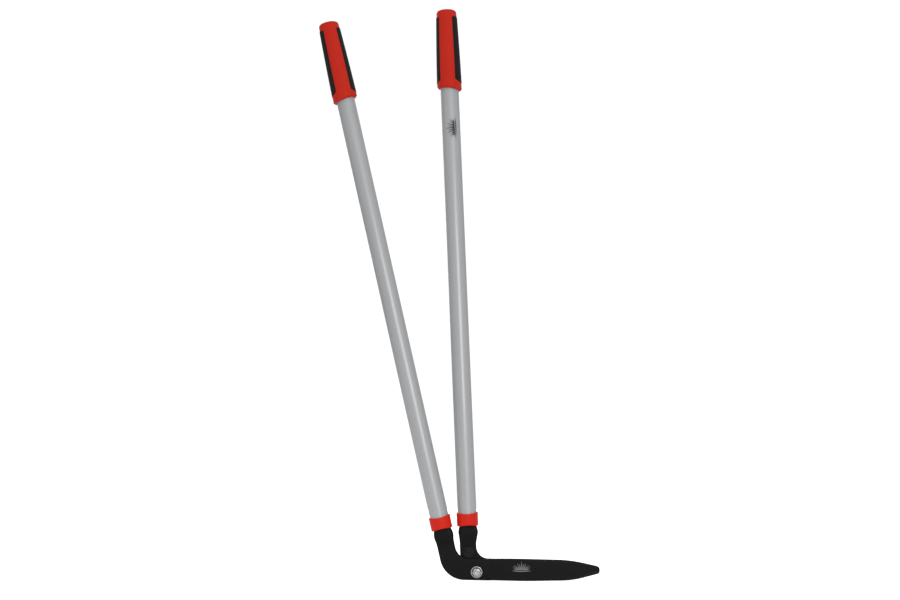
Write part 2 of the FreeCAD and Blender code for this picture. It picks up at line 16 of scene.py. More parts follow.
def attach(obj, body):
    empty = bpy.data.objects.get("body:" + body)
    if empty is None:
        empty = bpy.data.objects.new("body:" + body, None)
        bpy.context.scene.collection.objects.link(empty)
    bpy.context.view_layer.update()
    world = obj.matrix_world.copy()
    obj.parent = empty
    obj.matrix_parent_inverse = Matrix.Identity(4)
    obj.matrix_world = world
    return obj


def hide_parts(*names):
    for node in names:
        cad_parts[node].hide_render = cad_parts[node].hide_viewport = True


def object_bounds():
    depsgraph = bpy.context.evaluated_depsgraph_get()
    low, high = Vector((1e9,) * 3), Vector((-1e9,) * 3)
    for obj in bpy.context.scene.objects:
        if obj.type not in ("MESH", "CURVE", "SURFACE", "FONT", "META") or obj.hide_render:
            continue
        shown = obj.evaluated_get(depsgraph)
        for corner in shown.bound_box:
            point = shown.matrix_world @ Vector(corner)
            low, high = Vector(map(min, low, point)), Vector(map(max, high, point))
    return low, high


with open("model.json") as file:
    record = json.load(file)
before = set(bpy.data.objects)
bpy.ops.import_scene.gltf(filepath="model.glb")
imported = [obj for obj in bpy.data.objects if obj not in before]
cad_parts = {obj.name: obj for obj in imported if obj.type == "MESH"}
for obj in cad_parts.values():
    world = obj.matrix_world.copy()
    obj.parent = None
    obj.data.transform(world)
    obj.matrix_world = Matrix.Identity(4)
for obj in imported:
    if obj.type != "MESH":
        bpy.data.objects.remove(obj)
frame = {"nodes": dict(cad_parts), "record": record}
cad_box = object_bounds()

MM = 0.001
IN_METRES = Matrix.Scale(MM, 4)
FACING_VIEWER = Matrix.Rotation(math.radians(90), 4, "X")

# Blades and shanks. heel is the lower bend from blade to shank, as x, rise over the blade's lower
# edge and radius; throat is the upper one, x and radius. shank is how far the shank's left and right
# sides lie from the handle's axis. swell_start, mount_up and grip_start are heights up the handle:
# where the shank thickens, where the record's grip mount is, and where the grip starts. grip_turn is
# the angle from the handle's own +X to the middle of the grip's outer pad.
PLATE_THICKNESS = 4.5
HALF_GAP = 0.25
OUTER_FACE = HALF_GAP + PLATE_THICKNESS
TIP_ROUNDING = 5.0
EDGE_ROUNDING = 0.6
KEEN_ROUNDING = 0.08
BEVEL_WIDTH = 4.5
BEVEL_DEPTH = 3.6
BEVEL_RUN_IN = (15.0, 31.0)
LEVERS = {
    "front": {
        "side": -1,
        "reach": 208.2,
        "top": 21.8,
        "low": -15.4,
        "heel": (-54.0, 2.9, 42.0),
        "throat": (-31.3, 25.0),
        "shank": (-14.7, 15.2),
        "swell_start": -30.1,
        "mount_up": 826.9,
        "grip_start": 756.4,
        "grip_turn": 183.0,
    },
    "rear": {
        "side": 1,
        "reach": 207.2,
        "top": 22.2,
        "low": -14.6,
        "heel": (-25.9, 3.3, 22.0),
        "throat": (0.8, 20.0),
        "shank": (-14.8, 13.4),
        "swell_start": -33.5,
        "mount_up": 824.5,
        "grip_start": 753.9,
        "grip_turn": -8.2,
    },
}
# Bends of the blade's long edges: x, how far in from the edge's own level, and radius.
LOWER_BENDS = [(84.0, 0.0, 800.0), (163.0, 1.1, 150.0)]
UPPER_BENDS = [(62.0, 0.0, 800.0), (159.6, 2.4, 220.0)]
TIP_RISE = 12.7
TIP_DROP = 13.1
PLATE_SHIFT_Y = 1.0
SEAT_TOP = 2.5
TANG_ROOT = 5.3
TANG_TOP = 105.0
# Sections across the handle: height, left, right, middle depth, thickness and corner radius.
SWELL_ROWS = [
    (-10.8, -16.4, 17.1, 0.0, 14.0, 5.4),
    (-4.5, -15.6, 16.3, 0.0, 13.6, 5.6),
    (0.0, -14.4, 14.9, 0.0, 12.4, 5.2),
    (SEAT_TOP, -13.6, 13.9, 0.0, 11.6, 5.0),
]
TANG_ROWS = [
    (SEAT_TOP, -10.0, 10.0, 0.0, 9.0, 0.4),
    (TANG_ROOT, -10.0, 10.0, 0.0, 9.0, 0.4),
    (TANG_ROOT, -8.0, 8.0, 0.0, 5.0, 0.4),
    (TANG_TOP - 1.0, -5.0, 5.0, 0.0, 5.0, 0.4),
    (TANG_TOP, -4.0, 4.0, 0.0, 4.2, 0.4),
]

# Tube, collar and pin, in the handle's frame: +Z up from the collar's bottom edge.
TUBE_RADIUS = 16.0
TUBE_BORE = 14.5
TUBE_BOTTOM = 5.5
TUBE_IN_GRIP = 129.5
PIN_RADIUS = 2.55
PIN_HEIGHT = 13.5
COLLAR_HEIGHT = 23.4
COLLAR_RADII = (18.15, 18.45)
COLLAR_DIP = 2.0
COLLAR_SEAT_RADIUS = 15.3
COLLAR_LIP_RADIUS = 11.5
COLLAR_LIP_TOP = 4.0

# Hand grip, in its own frame: +Z up from the middle of its rim, +X its outer side.
GRIP_BORE = 16.05
GRIP_BORE_TOP = 130.0
GRIP_HEIGHT = 140.8
RIM_RADIUS = 21.5
RIM_BELOW = -6.0
NECK_RADIUS = 18.0
NECK_HEIGHT = 126.0
SIDE_SWELL = 0.35
SHOULDER_RADIUS = 17.4
SHOULDER_HEIGHT = 134.6
CROWN_RADIUS = 17.3
CROWN_DROP = 1.0
CROWN_ROUNDING = 4.8
DOME_BREAK = (8.0, 0.3, 60.0)
RIM_RAKE = math.tan(math.radians(7.5))
RIM_CHAMFER = 2.5
PAD_BOTTOM = 14.4
PAD_TOP = 126.5
PAD_BOTTOM_BULGE = 4.5
PAD_TOP_BULGE = 1.5
PAD_LOW_HALF = 16.6
PAD_HIGH_HALF = 13.9
PAD_CORNER = 2.0
PAD_DEPTH = 1.0
PAD_RISE = 0.5
PAD_GAP = 0.06
# Columns and rows of the grip's mesh: half their number, and how strongly they crowd to the edges.
PAD_ACROSS = (14, 1.8)
PAD_ALONG = (26, 2.0)
STRIPE_ACROSS = (9, 2.2)
BORE_RINGS = (90.0, 50.0, 20.0)

# Pivot, in its own frame: +Z towards the viewer, zero midway between the blades.
BOLT_RADIUS = 4.0
BOLT_HEAD_RADIUS = 10.3
BOLT_HEAD_HEIGHT = 4.6
BOLT_SQUARE_HALF = 4.0
BUSH_RADIUS = 6.0
WASHER_RADIUS = 9.7
WASHER_HOLE = 4.2
WASHER_BASE = 4.8
WASHER_THICKNESS = 1.6
SPRING_RADIUS = 8.5
SPRING_THICKNESS = 1.0
SPRING_HEIGHT = 1.7
NUT_ACROSS_FLATS = 13.0
NUT_BASE = WASHER_BASE + WASHER_THICKNESS + SPRING_HEIGHT
NUT_HEX_HEIGHT = 6.0
NUT_HEIGHT = 8.0
INSERT_RADIUS = 5.25
BOLT_END = NUT_BASE + NUT_HEIGHT + 2.0
THREAD_PITCH = 1.25
THREAD_DEPTH = 0.35
FIT = 0.05

# Stop buffer
BUFFER_CENTRE = (-13.7, 32.5)
BUFFER_RADIUS = 10.2
BUFFER_STEM = 3.5

# Printed marks
PRINT_THICKNESS = 0.04
BLADE_PRINT_CENTRE = (76.0, 10.0)
BLADE_PRINT_SIZE = (31.0, 15.0)
TUBE_PRINT_HEIGHT = 683.5
TUBE_PRINT_TURN = -95.0
TUBE_PRINT_SIZE = (36.0, 17.0)

# Sides of the turned pieces
SMALL_ROUND = 96
MIDDLE_ROUND = 120
LARGE_ROUND = 128

# Camera, lights and floor, in metres and watts. Each light has its place, aim, size and power.
CAMERA_PLACE = (-0.0449, -2.3, 0.28073)
CAMERA_TILT = 94.5
CAMERA_LENS = 53.64
LIGHTS = {
    "key": ((0.62, -2.2, 0.62), (0.0, 0.0, 0.42), (0.7, 0.3), 10.5),
    "fill_back": ((-0.8, 2.4, 1.3), (0.0, 0.0, 0.45), (1.6, 1.6), 18.0),
}
FLOOR_HALF = 1.6
FLOOR_DROP = 0.0005
FLOOR_GLOW = 0.75
NOISE_ROUGHNESS = 0.55


# ------------------------------------------------------------------ points and meshes


def handle_matrix(lever):
    """Handle's frame, in millimetres, to the world's, in metres."""
    mounts = {mount["name"]: mount for mount in frame["record"]["mounts"]}
    grip = mounts[lever + "_grip"]
    axis = Vector(grip["axis"]).normalized()
    across = Vector((axis.z, 0.0, -axis.x))
    origin = Vector(grip["pos_m"]) - axis * LEVERS[lever]["mount_up"] * MM
    turn = Matrix((across, (0.0, 1.0, 0.0), axis)).transposed().to_4x4()
    return Matrix.Translation(origin) @ turn @ IN_METRES


def grip_matrix(lever):
    """Grip's frame, in millimetres, to the world's, in metres."""
    turn = LEVERS[lever]["grip_turn"]
    lift = Matrix.Translation((0.0, 0.0, LEVERS[lever]["grip_start"]))
    return handle_matrix(lever) @ lift @ Matrix.Rotation(math.radians(turn), 4, "Z")


def pivot_matrix(x=0.0, z=0.0):
    """Frame of a piece that is turned about an axis square to the levers."""
    shift = Matrix.Translation((x * MM, 0.0, z * MM))
    return shift @ FACING_VIEWER @ IN_METRES


def polar(angle, radius, height):
    """Point at an angle, radius and height."""
    return (radius * math.cos(angle), radius * math.sin(angle), height)


def turned_by(vector, angle):
    """A 2-D vector, turned."""
    cosine = math.cos(angle)
    sine = math.sin(angle)
    return Vector((vector.x * cosine - vector.y * sine, vector.x * sine + vector.y * cosine))


def corner_arc(corners, index):
    """Centre, first spoke and signed turn of the arc that rounds a corner."""
    corner = Vector(corners[index][:2])
    before = (Vector(corners[index - 1][:2]) - corner).normalized()
    after = (Vector(corners[(index + 1) % len(corners)][:2]) - corner).normalized()
    half = before.angle(after) / 2
    radius = corners[index][2]
    centre = corner + (before + after).normalized() * (radius / math.sin(half))
    spoke = corner + before * (radius / math.tan(half)) - centre
    turn = math.pi - 2 * half
    if before.cross(after) > 0:
        turn = -turn
    return centre, spoke, turn


def rounded(corners, closed=False, step=9.0):
    """Points along a line through (a, b, radius) corners, with every corner rounded by an arc of
    its radius that turns so many degrees a step."""
    points = []
    last = len(corners) - 1
    for index, (a, b, radius) in enumerate(corners):
        is_end = not closed and index in (0, last)
        if radius == 0 or is_end:
            points.append(Vector((a, b)))
            continue
        centre, spoke, turn = corner_arc(corners, index)
        steps = max(2, math.ceil(abs(math.degrees(turn)) / step))
        for k in range(steps + 1):
            points.append(centre + turned_by(spoke, turn * k / steps))
    return points


def edge_drop(distance, radius):
    """How far a rounded edge drops below the surface at a distance from its brink."""
    if distance >= radius:
        return 0.0
    return radius - math.sqrt(radius**2 - (radius - distance) ** 2)


def graded(count, power):
    """Values from -1 to 1 that lie closer together towards both ends."""
    values = []
    for i in range(-count, count + 1):
        inward = (1 - abs(i) / count) ** power
        values.append(math.copysign(1 - inward, i))
    return values


def smooth_rows(lead, rows, steps):
    """Rows of numbers, with more between them on a smooth curve that comes in from a lead row."""
    table = np.array([lead, *rows, rows[-1]], float)
    result = []
    for i in range(1, len(rows)):
        before, start, end, after = table[i - 1 : i + 3]
        for k in range(steps):
            t = k / steps
            linear = (end - before) * t
            squared = (2 * before - 5 * start + 4 * end - after) * t**2
            cubed = (3 * start - before - 3 * end + after) * t**3
            result.append(0.5 * (2 * start + linear + squared + cubed))
    result.append(table[-1])
    return result


def grid_faces(rows, columns, closed_rows):
    """Quads between the vertices of a grid whose rows run once round. The last row may join the
    first."""
    faces = []
    for row in range(rows if closed_rows else rows - 1):
        low = row * columns
        high = (row + 1) % rows * columns
        for column in range(columns):
            beside = (column + 1) % columns
            faces.append((low + column, low + beside, high + beside, high + column))
    return faces


def new_object(name, data):
    """Object in the scene for a mesh, a light or a camera."""
    made = bpy.data.objects.new(name, data)
    bpy.context.scene.collection.objects.link(made)
    return made


def new_piece(name, vertices, faces, matrix, sharp_angle=32.0):
    """Clean closed mesh object with outward normals, smooth but for its sharp edges."""
    mesh = bpy.data.meshes.new(name)
    mesh.from_pydata([matrix @ Vector(v) for v in vertices], [], faces)
    working = bmesh.new()
    working.from_mesh(mesh)
    bmesh.ops.remove_doubles(working, verts=working.verts, dist=0.004 * MM)
    bmesh.ops.dissolve_degenerate(working, edges=working.edges, dist=0.002 * MM)
    bmesh.ops.recalc_face_normals(working, faces=working.faces)
    working.to_mesh(mesh)
    working.free()
    piece = new_object(name, mesh)
    soften(piece, sharp_angle)
    return piece


def soften(piece, sharp_angle=32.0):
    """Smooth shading, with edges sharper than an angle kept crisp."""
    piece.data.shade_smooth()
    piece.data.set_sharp_from_angle(angle=math.radians(sharp_angle))


def turned(name, profile_at, segments, matrix, sharp_angle=32.0):
    """Piece turned round Z. profile_at(angle) gives (radius, height) points, which close on
    themselves or start and end on the axis."""
    columns = [profile_at(2 * math.pi * i / segments) for i in range(segments)]
    vertices = []
    for row in range(len(columns[0])):
        for i, column in enumerate(columns):
            angle = 2 * math.pi * i / segments
            vertices.append(polar(angle, *column[row]))
    faces = grid_faces(len(columns[0]), segments, True)
    return new_piece(name, vertices, faces, matrix, sharp_angle)


def cut(piece, cutters):
    """Cut closed pieces out of another, and delete them."""
    for cutter in cutters:
        hole = piece.modifiers.new("hole", "BOOLEAN")
        hole.operation = "DIFFERENCE"
        hole.solver = "EXACT"
        hole.object = cutter
    depsgraph = bpy.context.evaluated_depsgraph_get()
    mesh = bpy.data.meshes.new_from_object(piece.evaluated_get(depsgraph))
    piece.modifiers.clear()
    piece.data = mesh
    for cutter in cutters:
        bpy.data.objects.remove(cutter)
    soften(piece)


def rod(radius, matrix, reach=20.0, segments=72, angle=0.0):
    """Plain closed rod, only ever used to cut a hole."""
    spin = Matrix.Rotation(angle, 4, "Z")
    profile = [(0.0, -reach), (radius, -reach), (radius, reach), (0.0, reach)]
    return turned("cutter", lambda _: profile, segments, matrix @ spin)


def pin_cutter(lever):
    """Rod that cuts the cross pin's hole."""
    lift = Matrix.Translation((0.0, 0.0, PIN_HEIGHT))
    return rod(PIN_RADIUS, handle_matrix(lever) @ lift @ FACING_VIEWER, reach=25.0)


def dress(piece, body, slot, material, *nodes):
    """Put a piece on its body, give it its material and hide the CAD nodes that it stands for."""
    piece.data.materials.clear()
    piece.data.materials.append(material)
    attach(piece, body)
    if nodes:
        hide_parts(*nodes)
    return piece


# ------------------------------------------------------------------ levers


def lever_edges(lever):
    """Corners of the plate's inner edge, by way of the throat, and of its outer one, by the heel."""
    data = LEVERS[lever]
    top = data["top"]
    low = data["low"]
    reach = data["reach"]
    left, right = data["shank"]
    matrix = handle_matrix(lever)
    shank_left = matrix @ Vector((left, 0.0, data["swell_start"])) / MM
    shank_right = matrix @ Vector((right, 0.0, data["swell_start"])) / MM
    throat_x, throat_radius = data["throat"]
    heel_x, heel_rise, heel_radius = data["heel"]
    tip_middle = (reach, (top + low) / 2, 0.0)
    inner = [
        (shank_right.x, shank_right.z, 0.0),
        (throat_x, top, throat_radius),
        *[(x, top - drop, radius) for x, drop, radius in UPPER_BENDS],
        (reach, top - TIP_DROP, TIP_ROUNDING),
        tip_middle,
    ]
    outer = [
        (shank_left.x, shank_left.z, 0.0),
        (heel_x, low + heel_rise, heel_radius),
        *[(x, low + rise, radius) for x, rise, radius in LOWER_BENDS],
        (reach, low + TIP_RISE, TIP_ROUNDING),
        tip_middle,
    ]
    return inner, outer


def ray_hit(line, start, direction):
    """Nearest point of a line of points in a direction."""
    nearest = None
    for first, second in zip(line, line[1:]):
        run = second - first
        across = direction.cross(run)
        if abs(across) < 1e-9:
            continue
        along_ray = (first - start).cross(run) / across
        along_run = (first - start).cross(direction) / across
        if along_ray > 0 and -1e-6 <= along_run <= 1 + 1e-6:
            if nearest is None or along_ray < nearest:
                nearest = along_ray
    return start + direction * nearest


def height_at(line, x):
    """Height of a line of points that runs towards +X."""
    return float(np.interp(x, [p.x for p in line], [p.y for p in line]))


def plate_stations(lever):
    """Pairs of points across the plate, on its inner and outer edge, from the shank to the tip."""
    fan_steps = 40
    blade_step = 3.0
    tip_steps = 14
    inner, outer = lever_edges(lever)
    arc_step = 1.5
    inner_line = rounded(inner, step=arc_step)[:-1]
    outer_line = rounded(outer, step=arc_step)[:-1]
    pairs = [(inner_line[0], outer_line[0])]
    centre, spoke, turn = corner_arc(inner, 1)
    for k in range(fan_steps + 1):
        along = turned_by(spoke, turn * k / fan_steps)
        pairs.append((centre + along, ray_hit(outer_line, centre, along)))
    reach = LEVERS[lever]["reach"]
    start = pairs[-1][0].x
    straight_end = reach - TIP_ROUNDING
    count = round((straight_end - start) / blade_step)
    stations = [start + (straight_end - start) * k / count for k in range(1, count + 1)]
    for k in range(1, tip_steps + 1):
        angle = math.pi / 2 * k / tip_steps
        stations.append(reach - TIP_ROUNDING * (1 - math.sin(angle)))
    blade_inner = [p for p in inner_line if p.x >= start - 1e-6]
    for x in stations:
        near = Vector((x, height_at(blade_inner, x)))
        far = Vector((x, height_at(outer_line, x)))
        pairs.append((near, far))
    return pairs


def section(near, far, front, back, radii, bevel_at=None, bevel=(0.0, 0.0, 0.0)):
    """Loop of points round a section between two edge points, from depth front to depth back.

    The corners are inner front, outer front, outer back and inner back. One of them, bevel_at,
    turns into a straight bevel by a share, with a width along the face and a depth."""
    corner_steps = 6
    face_steps = (6, 2, 6, 2)
    width = (far - near).length
    run = (far - near) / width
    # Each corner with the directions in which the outline arrives and leaves.
    corners = [
        (0.0, front, (0.0, -1.0), (1.0, 0.0)),
        (width, front, (1.0, 0.0), (0.0, 1.0)),
        (width, back, (0.0, 1.0), (-1.0, 0.0)),
        (0.0, back, (-1.0, 0.0), (0.0, -1.0)),
    ]
    loop = []
    for index, (s, y, arrive, leave) in enumerate(corners):
        radius = radii[index]
        share, bevel_width, bevel_depth = bevel if index == bevel_at else (0.0, 0.0, 0.0)
        for k in range(corner_steps + 1):
            angle = math.pi / 2 * k / corner_steps
            back_off = radius * (1 - math.sin(angle))
            move_on = radius * (1 - math.cos(angle))
            straight = k / corner_steps
            back_off += share * (bevel_width * (1 - straight) - back_off)
            move_on += share * (bevel_depth * straight - move_on)
            across = s - arrive[0] * back_off + leave[0] * move_on
            depth = y - arrive[1] * back_off + leave[1] * move_on
            loop.append((across, depth))
    return thread_faces(loop, corner_steps, face_steps, near, run)


def thread_faces(loop, corner_steps, face_steps, near, run):
    """Add points along the straight stretches of a section's loop, and lift it into the world."""
    full = []
    for index, steps in enumerate(face_steps):
        first = (corner_steps + 1) * index
        full.extend(loop[first : first + corner_steps + 1])
        start = loop[first + corner_steps]
        end = loop[(first + corner_steps + 1) % len(loop)]
        for k in range(1, steps):
            share = k / steps
            across = start[0] + (end[0] - start[0]) * share
            depth = start[1] + (end[1] - start[1]) * share
            full.append((across, depth))
    return [(near.x + run.x * s, y, near.y + run.y * s) for s, y in full]


def swell_rows(lever):
    """Shank's thick end and tang: (height, left, right, middle depth, thickness, corner) rows."""
    data = LEVERS[lever]
    left, right = data["shank"]
    start = data["swell_start"]
    shift = -data["side"] * PLATE_SHIFT_Y
    lead_step = 6.0
    # One step down the plate's own edges, so that the swell flows out of them without a kink.
    to_handle = handle_matrix(lever).inverted() @ IN_METRES
    ahead = []
    for corners in lever_edges(lever):
        first = Vector(corners[0][:2])
        onward = first + (Vector(corners[1][:2]) - first).normalized() * lead_step
        ahead.append(to_handle @ Vector((onward.x, 0.0, onward.y)))
    lead = (start - lead_step, ahead[1].x, ahead[0].x, shift, PLATE_THICKNESS, EDGE_ROUNDING)
    rows = [
        (start, left, right, shift, PLATE_THICKNESS, EDGE_ROUNDING),
        (start + 5.0, left - 0.05, right + 0.1, 0.85 * shift, PLATE_THICKNESS + 1.3, 1.2),
        (-19.5, -15.3, 0.25 * right + 11.9, 0.2 * shift, 10.6, 3.6),
        *SWELL_ROWS,
    ]
    return [*smooth_rows(lead, rows, steps=6), *TANG_ROWS]


def handle_sections(lever):
    """Loops of points from the tang's top down to the flat of the shank."""
    matrix = handle_matrix(lever)
    middle = matrix.translation.y / MM
    loops = []
    for height, left, right, depth, thickness, corner in reversed(swell_rows(lever)):
        near = matrix @ Vector((right, 0.0, height)) / MM
        far = matrix @ Vector((left, 0.0, height)) / MM
        front = middle + depth - thickness / 2
        near = Vector((near.x, near.z))
        far = Vector((far.x, far.z))
        loops.append(section(near, far, front, front + thickness, [corner] * 4))
    return loops


def bevel_of(lever, near, far):
    """Share, width and depth of the ground bevel at a station of the blade."""
    start, end = BEVEL_RUN_IN
    least_width = 0.05
    x = near.x
    share = min(max((x - start) / (end - start), 0.0), 1.0)
    share = share * share * (3 - 2 * share)
    inner, outer = lever_edges(lever)
    corners = outer if lever == "front" else inner
    # The grinding wheel ran straight on past the rounded tip, so it takes less off there.
    last = Vector(corners[-2][:2])
    before = Vector(corners[-3][:2])
    unrounded = before.y + (last.y - before.y) * (x - before.x) / (last.x - before.x)
    edge = far.y if lever == "front" else near.y
    lost = abs(edge - unrounded) if x > last.x - TIP_ROUNDING else 0.0
    left = max(BEVEL_WIDTH - lost, least_width) / BEVEL_WIDTH
    return share, BEVEL_WIDTH * left, BEVEL_DEPTH * left


def plate_sections(lever):
    """Loops of points over the flat of the shank and the blade, out to the tip."""
    data = LEVERS[lever]
    depths = sorted([data["side"] * HALF_GAP, data["side"] * OUTER_FACE])
    bevel_at = 1 if lever == "front" else 3
    loops = []
    for near, far in plate_stations(lever)[1:]:
        bevel = bevel_of(lever, near, far)
        radii = [EDGE_ROUNDING] * 4
        # The cutting edge itself stays keen on its flat side.
        keen = 2 if lever == "front" else 0
        radii[keen] = EDGE_ROUNDING + bevel[0] * (KEEN_ROUNDING - EDGE_ROUNDING)
        inset = edge_drop(data["reach"] - near.x, EDGE_ROUNDING)
        loops.append(section(near, far, depths[0] + inset, depths[1] - inset, radii, bevel_at, bevel))
    return loops


def forging(lever, materials):
    """Blade, shank and tang in one piece, with the holes for the pivot and the cross pin."""
    loops = [*handle_sections(lever), *plate_sections(lever)]
    size = len(loops[0])
    vertices = [point for loop in loops for point in loop]
    faces = grid_faces(len(loops), size, False)
    faces.append(tuple(reversed(range(size))))
    faces.append(tuple(range(len(vertices) - size, len(vertices))))
    piece = new_piece(lever + "_forging", vertices, faces, IN_METRES, sharp_angle=28.0)
    cutters = [pin_cutter(lever)]
    if lever == "front":
        cutters.append(rod(BUSH_RADIUS, pivot_matrix()))
    else:
        corner = (BOLT_SQUARE_HALF + FIT) * math.sqrt(2)
        cutters.append(rod(corner, pivot_matrix(), segments=4, angle=math.radians(45)))
        cutters.append(rod(BUFFER_STEM + FIT, pivot_matrix(*BUFFER_CENTRE)))
    cut(piece, cutters)
    coated, ground = materials
    dress(piece, lever + "_lever", "coated_blade_steel", coated, lever + "_blade")
    piece.data.materials.append(ground)
    mark_bevel(piece, LEVERS[lever]["side"])
    return piece


def mark_bevel(piece, side):
    """Give the ground bevel its own finish: the faces that slant between face and edge."""
    slant = BEVEL_WIDTH / math.hypot(BEVEL_WIDTH, BEVEL_DEPTH)
    tolerance = 0.04
    start = BEVEL_RUN_IN[0] * MM
    for face in piece.data.polygons:
        facing = face.normal.y * side
        if abs(facing - slant) < tolerance and face.center.x > start:
            face.material_index = 1


# ------------------------------------------------------------------ tube and collar


def handle_tube(lever, material):
    """Drawn tube, with its ends trued off, from the plug's flange to the end of the grip's bore."""
    ring_step = 20.0
    rounding = 0.3
    top = LEVERS[lever]["grip_start"] + TUBE_IN_GRIP
    corners = [
        (TUBE_BORE, TUBE_BOTTOM, rounding),
        (TUBE_RADIUS, TUBE_BOTTOM, rounding),
        (TUBE_RADIUS, top, rounding),
        (TUBE_BORE, top, rounding),
    ]
    wall = rounded(corners, closed=True, step=30.0)
    profile = []
    for first, second in zip(wall, [*wall[1:], wall[0]]):
        count = max(1, round((second - first).length / ring_step))
        profile.extend(first.lerp(second, k / count) for k in range(count))
    piece = turned(lever + "_silver_tube", lambda _: profile, LARGE_ROUND, handle_matrix(lever))
    cut(piece, [pin_cutter(lever)])
    return dress(piece, lever + "_lever", "handle_tube", material, lever + "_tube")


def collar(lever, material):
    """Moulded collar over the tube's lower end; its edges dip at the front and the back."""
    low_radius, high_radius = COLLAR_RADII

    def profile_at(angle):
        dip = COLLAR_DIP * math.sin(angle) ** 2
        top = COLLAR_HEIGHT - dip
        corners = [
            (low_radius, dip, 2.3),
            (high_radius, top, 0.7),
            (GRIP_BORE, top, 0.5),
            (GRIP_BORE, COLLAR_LIP_TOP, 0.15),
            (COLLAR_LIP_RADIUS, COLLAR_LIP_TOP, 0.3),
            (COLLAR_LIP_RADIUS, SEAT_TOP, 0.3),
            (COLLAR_SEAT_RADIUS, SEAT_TOP, 0.15),
            (COLLAR_SEAT_RADIUS, dip, 0.2),
        ]
        return rounded(corners, closed=True)

    piece = turned(lever + "_red_collar", profile_at, MIDDLE_ROUND, handle_matrix(lever))
    return dress(piece, lever + "_lever", "red_collar", material, lever + "_collar")


# ------------------------------------------------------------------ hand grip


def side_radius(height):
    """Radius of the grip's tapered, slightly swelling side."""
    if height > NECK_HEIGHT:
        share = (height - NECK_HEIGHT) / (SHOULDER_HEIGHT - NECK_HEIGHT)
        return NECK_RADIUS + (SHOULDER_RADIUS - NECK_RADIUS) * share
    share = (height - RIM_BELOW) / (NECK_HEIGHT - RIM_BELOW)
    straight = RIM_RADIUS + (NECK_RADIUS - RIM_RADIUS) * share
    return straight + SIDE_SWELL * 4 * share * (1 - share)


def flank_angle(height):
    """Angle from the pad's middle line to its flank, as seen from the grip's axis."""
    share = min(max((height - PAD_BOTTOM) / (PAD_TOP - PAD_BOTTOM), 0.0), 1.0)
    half = PAD_LOW_HALF + (PAD_HIGH_HALF - PAD_LOW_HALF) * share
    return math.asin(half / side_radius(height))


def corner_pull(beside, beyond):
    """How far the pad's rounded corner draws a nearby point in, by its distance from both edges."""
    reach = 0.8 * PAD_CORNER
    steepness = 1.6
    fade = (abs(beside) / reach) ** steepness + (abs(beyond) / reach) ** steepness
    return PAD_CORNER * (1 - math.sqrt(0.5)) * math.exp(-fade)


def pad_line(across, end):
    """Height of the pad's bulging bottom or top edge, at a share across it from -1 to 1."""
    bulge = 1 - across**2
    if end == "bottom":
        return PAD_BOTTOM - PAD_BOTTOM_BULGE * bulge
    return PAD_TOP + PAD_TOP_BULGE * bulge


def pad_grid_point(across, along):
    """(angle, height, distance from the flank, distance from the end) of a point of the pad."""
    bottom = pad_line(across, "bottom")
    top = pad_line(across, "top")
    height = bottom + (top - bottom) * (along + 1) / 2
    flank = flank_angle(height)
    radius = side_radius(height)
    angle = math.asin(across * math.sin(flank))
    beside = (abs(across) - 1) * radius * math.sin(flank)
    beyond = (abs(along) - 1) * (top - bottom) / 2
    pull = corner_pull(beside, beyond)
    angle -= math.copysign(pull / radius, across)
    height -= math.copysign(pull, along)
    return angle, height, beside, beyond


def sleeve_columns():
    """Columns once round the sleeve: (is a pad's, its side of the grip, share across)."""
    columns = []
    for side in (0, 1):
        columns.extend((True, side, across) for across in graded(*PAD_ACROSS))
        columns.extend((False, side, (1 + across) / 2) for across in graded(*STRIPE_ACROSS))
    return columns


def stripe_point(share, height, beyond, toward):
    """(angle from the pad beside it, height, distance from a flank) of a point between two pads."""
    flank = flank_angle(height)
    gap = math.pi - 2 * flank
    radius = side_radius(height)
    beside = min(share, 1 - share) * gap * radius
    pull = corner_pull(beside, beyond)
    angle = flank + share * gap + (pull if share > 0.5 else -pull) / radius
    return angle, height + toward * pull, beside


def sleeve_side_point(column, zone, share):
    """Point of the sleeve's side. Zones are below, in and above the pads' rows."""
    is_pad, side, across = column
    edge_radius = 0.35
    toward = 1 if zone == "below" or (zone == "pads" and share < 0) else -1
    if zone == "pads":
        if is_pad:
            angle, height, _, _ = pad_grid_point(across, share)
            return side * math.pi + angle, side_radius(height) - PAD_DEPTH, height
        height = (PAD_BOTTOM + PAD_TOP) / 2 + share * (PAD_TOP - PAD_BOTTOM) / 2
        beyond = (1 - abs(share)) * (PAD_TOP - PAD_BOTTOM) / 2
        angle, height, beside = stripe_point(across, height, beyond, toward)
        drop = edge_drop(beside, edge_radius)
        return side * math.pi + angle, side_radius(height) - drop, height
    end = "bottom" if zone == "below" else "top"
    line = pad_line(across if is_pad else 1.0, end)
    if is_pad:
        angle = math.asin(across * math.sin(flank_angle(line)))
        beside = (abs(across) - 1) * side_radius(line) * math.sin(flank_angle(line))
    if zone == "below":
        rough_angle = side * math.pi + (angle if is_pad else across * math.pi)
        limit = rim_plane(RIM_RADIUS, rough_angle) + 2 * RIM_CHAMFER
    else:
        limit = SHOULDER_HEIGHT
    beyond = abs(line - limit) * share
    height = line + (limit - line) * share
    if is_pad:
        pull = corner_pull(beside, beyond)
        angle -= math.copysign(pull / side_radius(height), across)
        height += toward * pull
        beside = 0.0
    else:
        angle, height, beside = stripe_point(across, height, beyond, toward)
    drop = edge_drop(math.hypot(beside, beyond), edge_radius)
    return side * math.pi + angle, side_radius(height) - drop, height


def rim_plane(radius, angle):
    """Height of the raked plane that ends the sleeve's rim."""
    return -radius * math.cos(angle) * RIM_RAKE


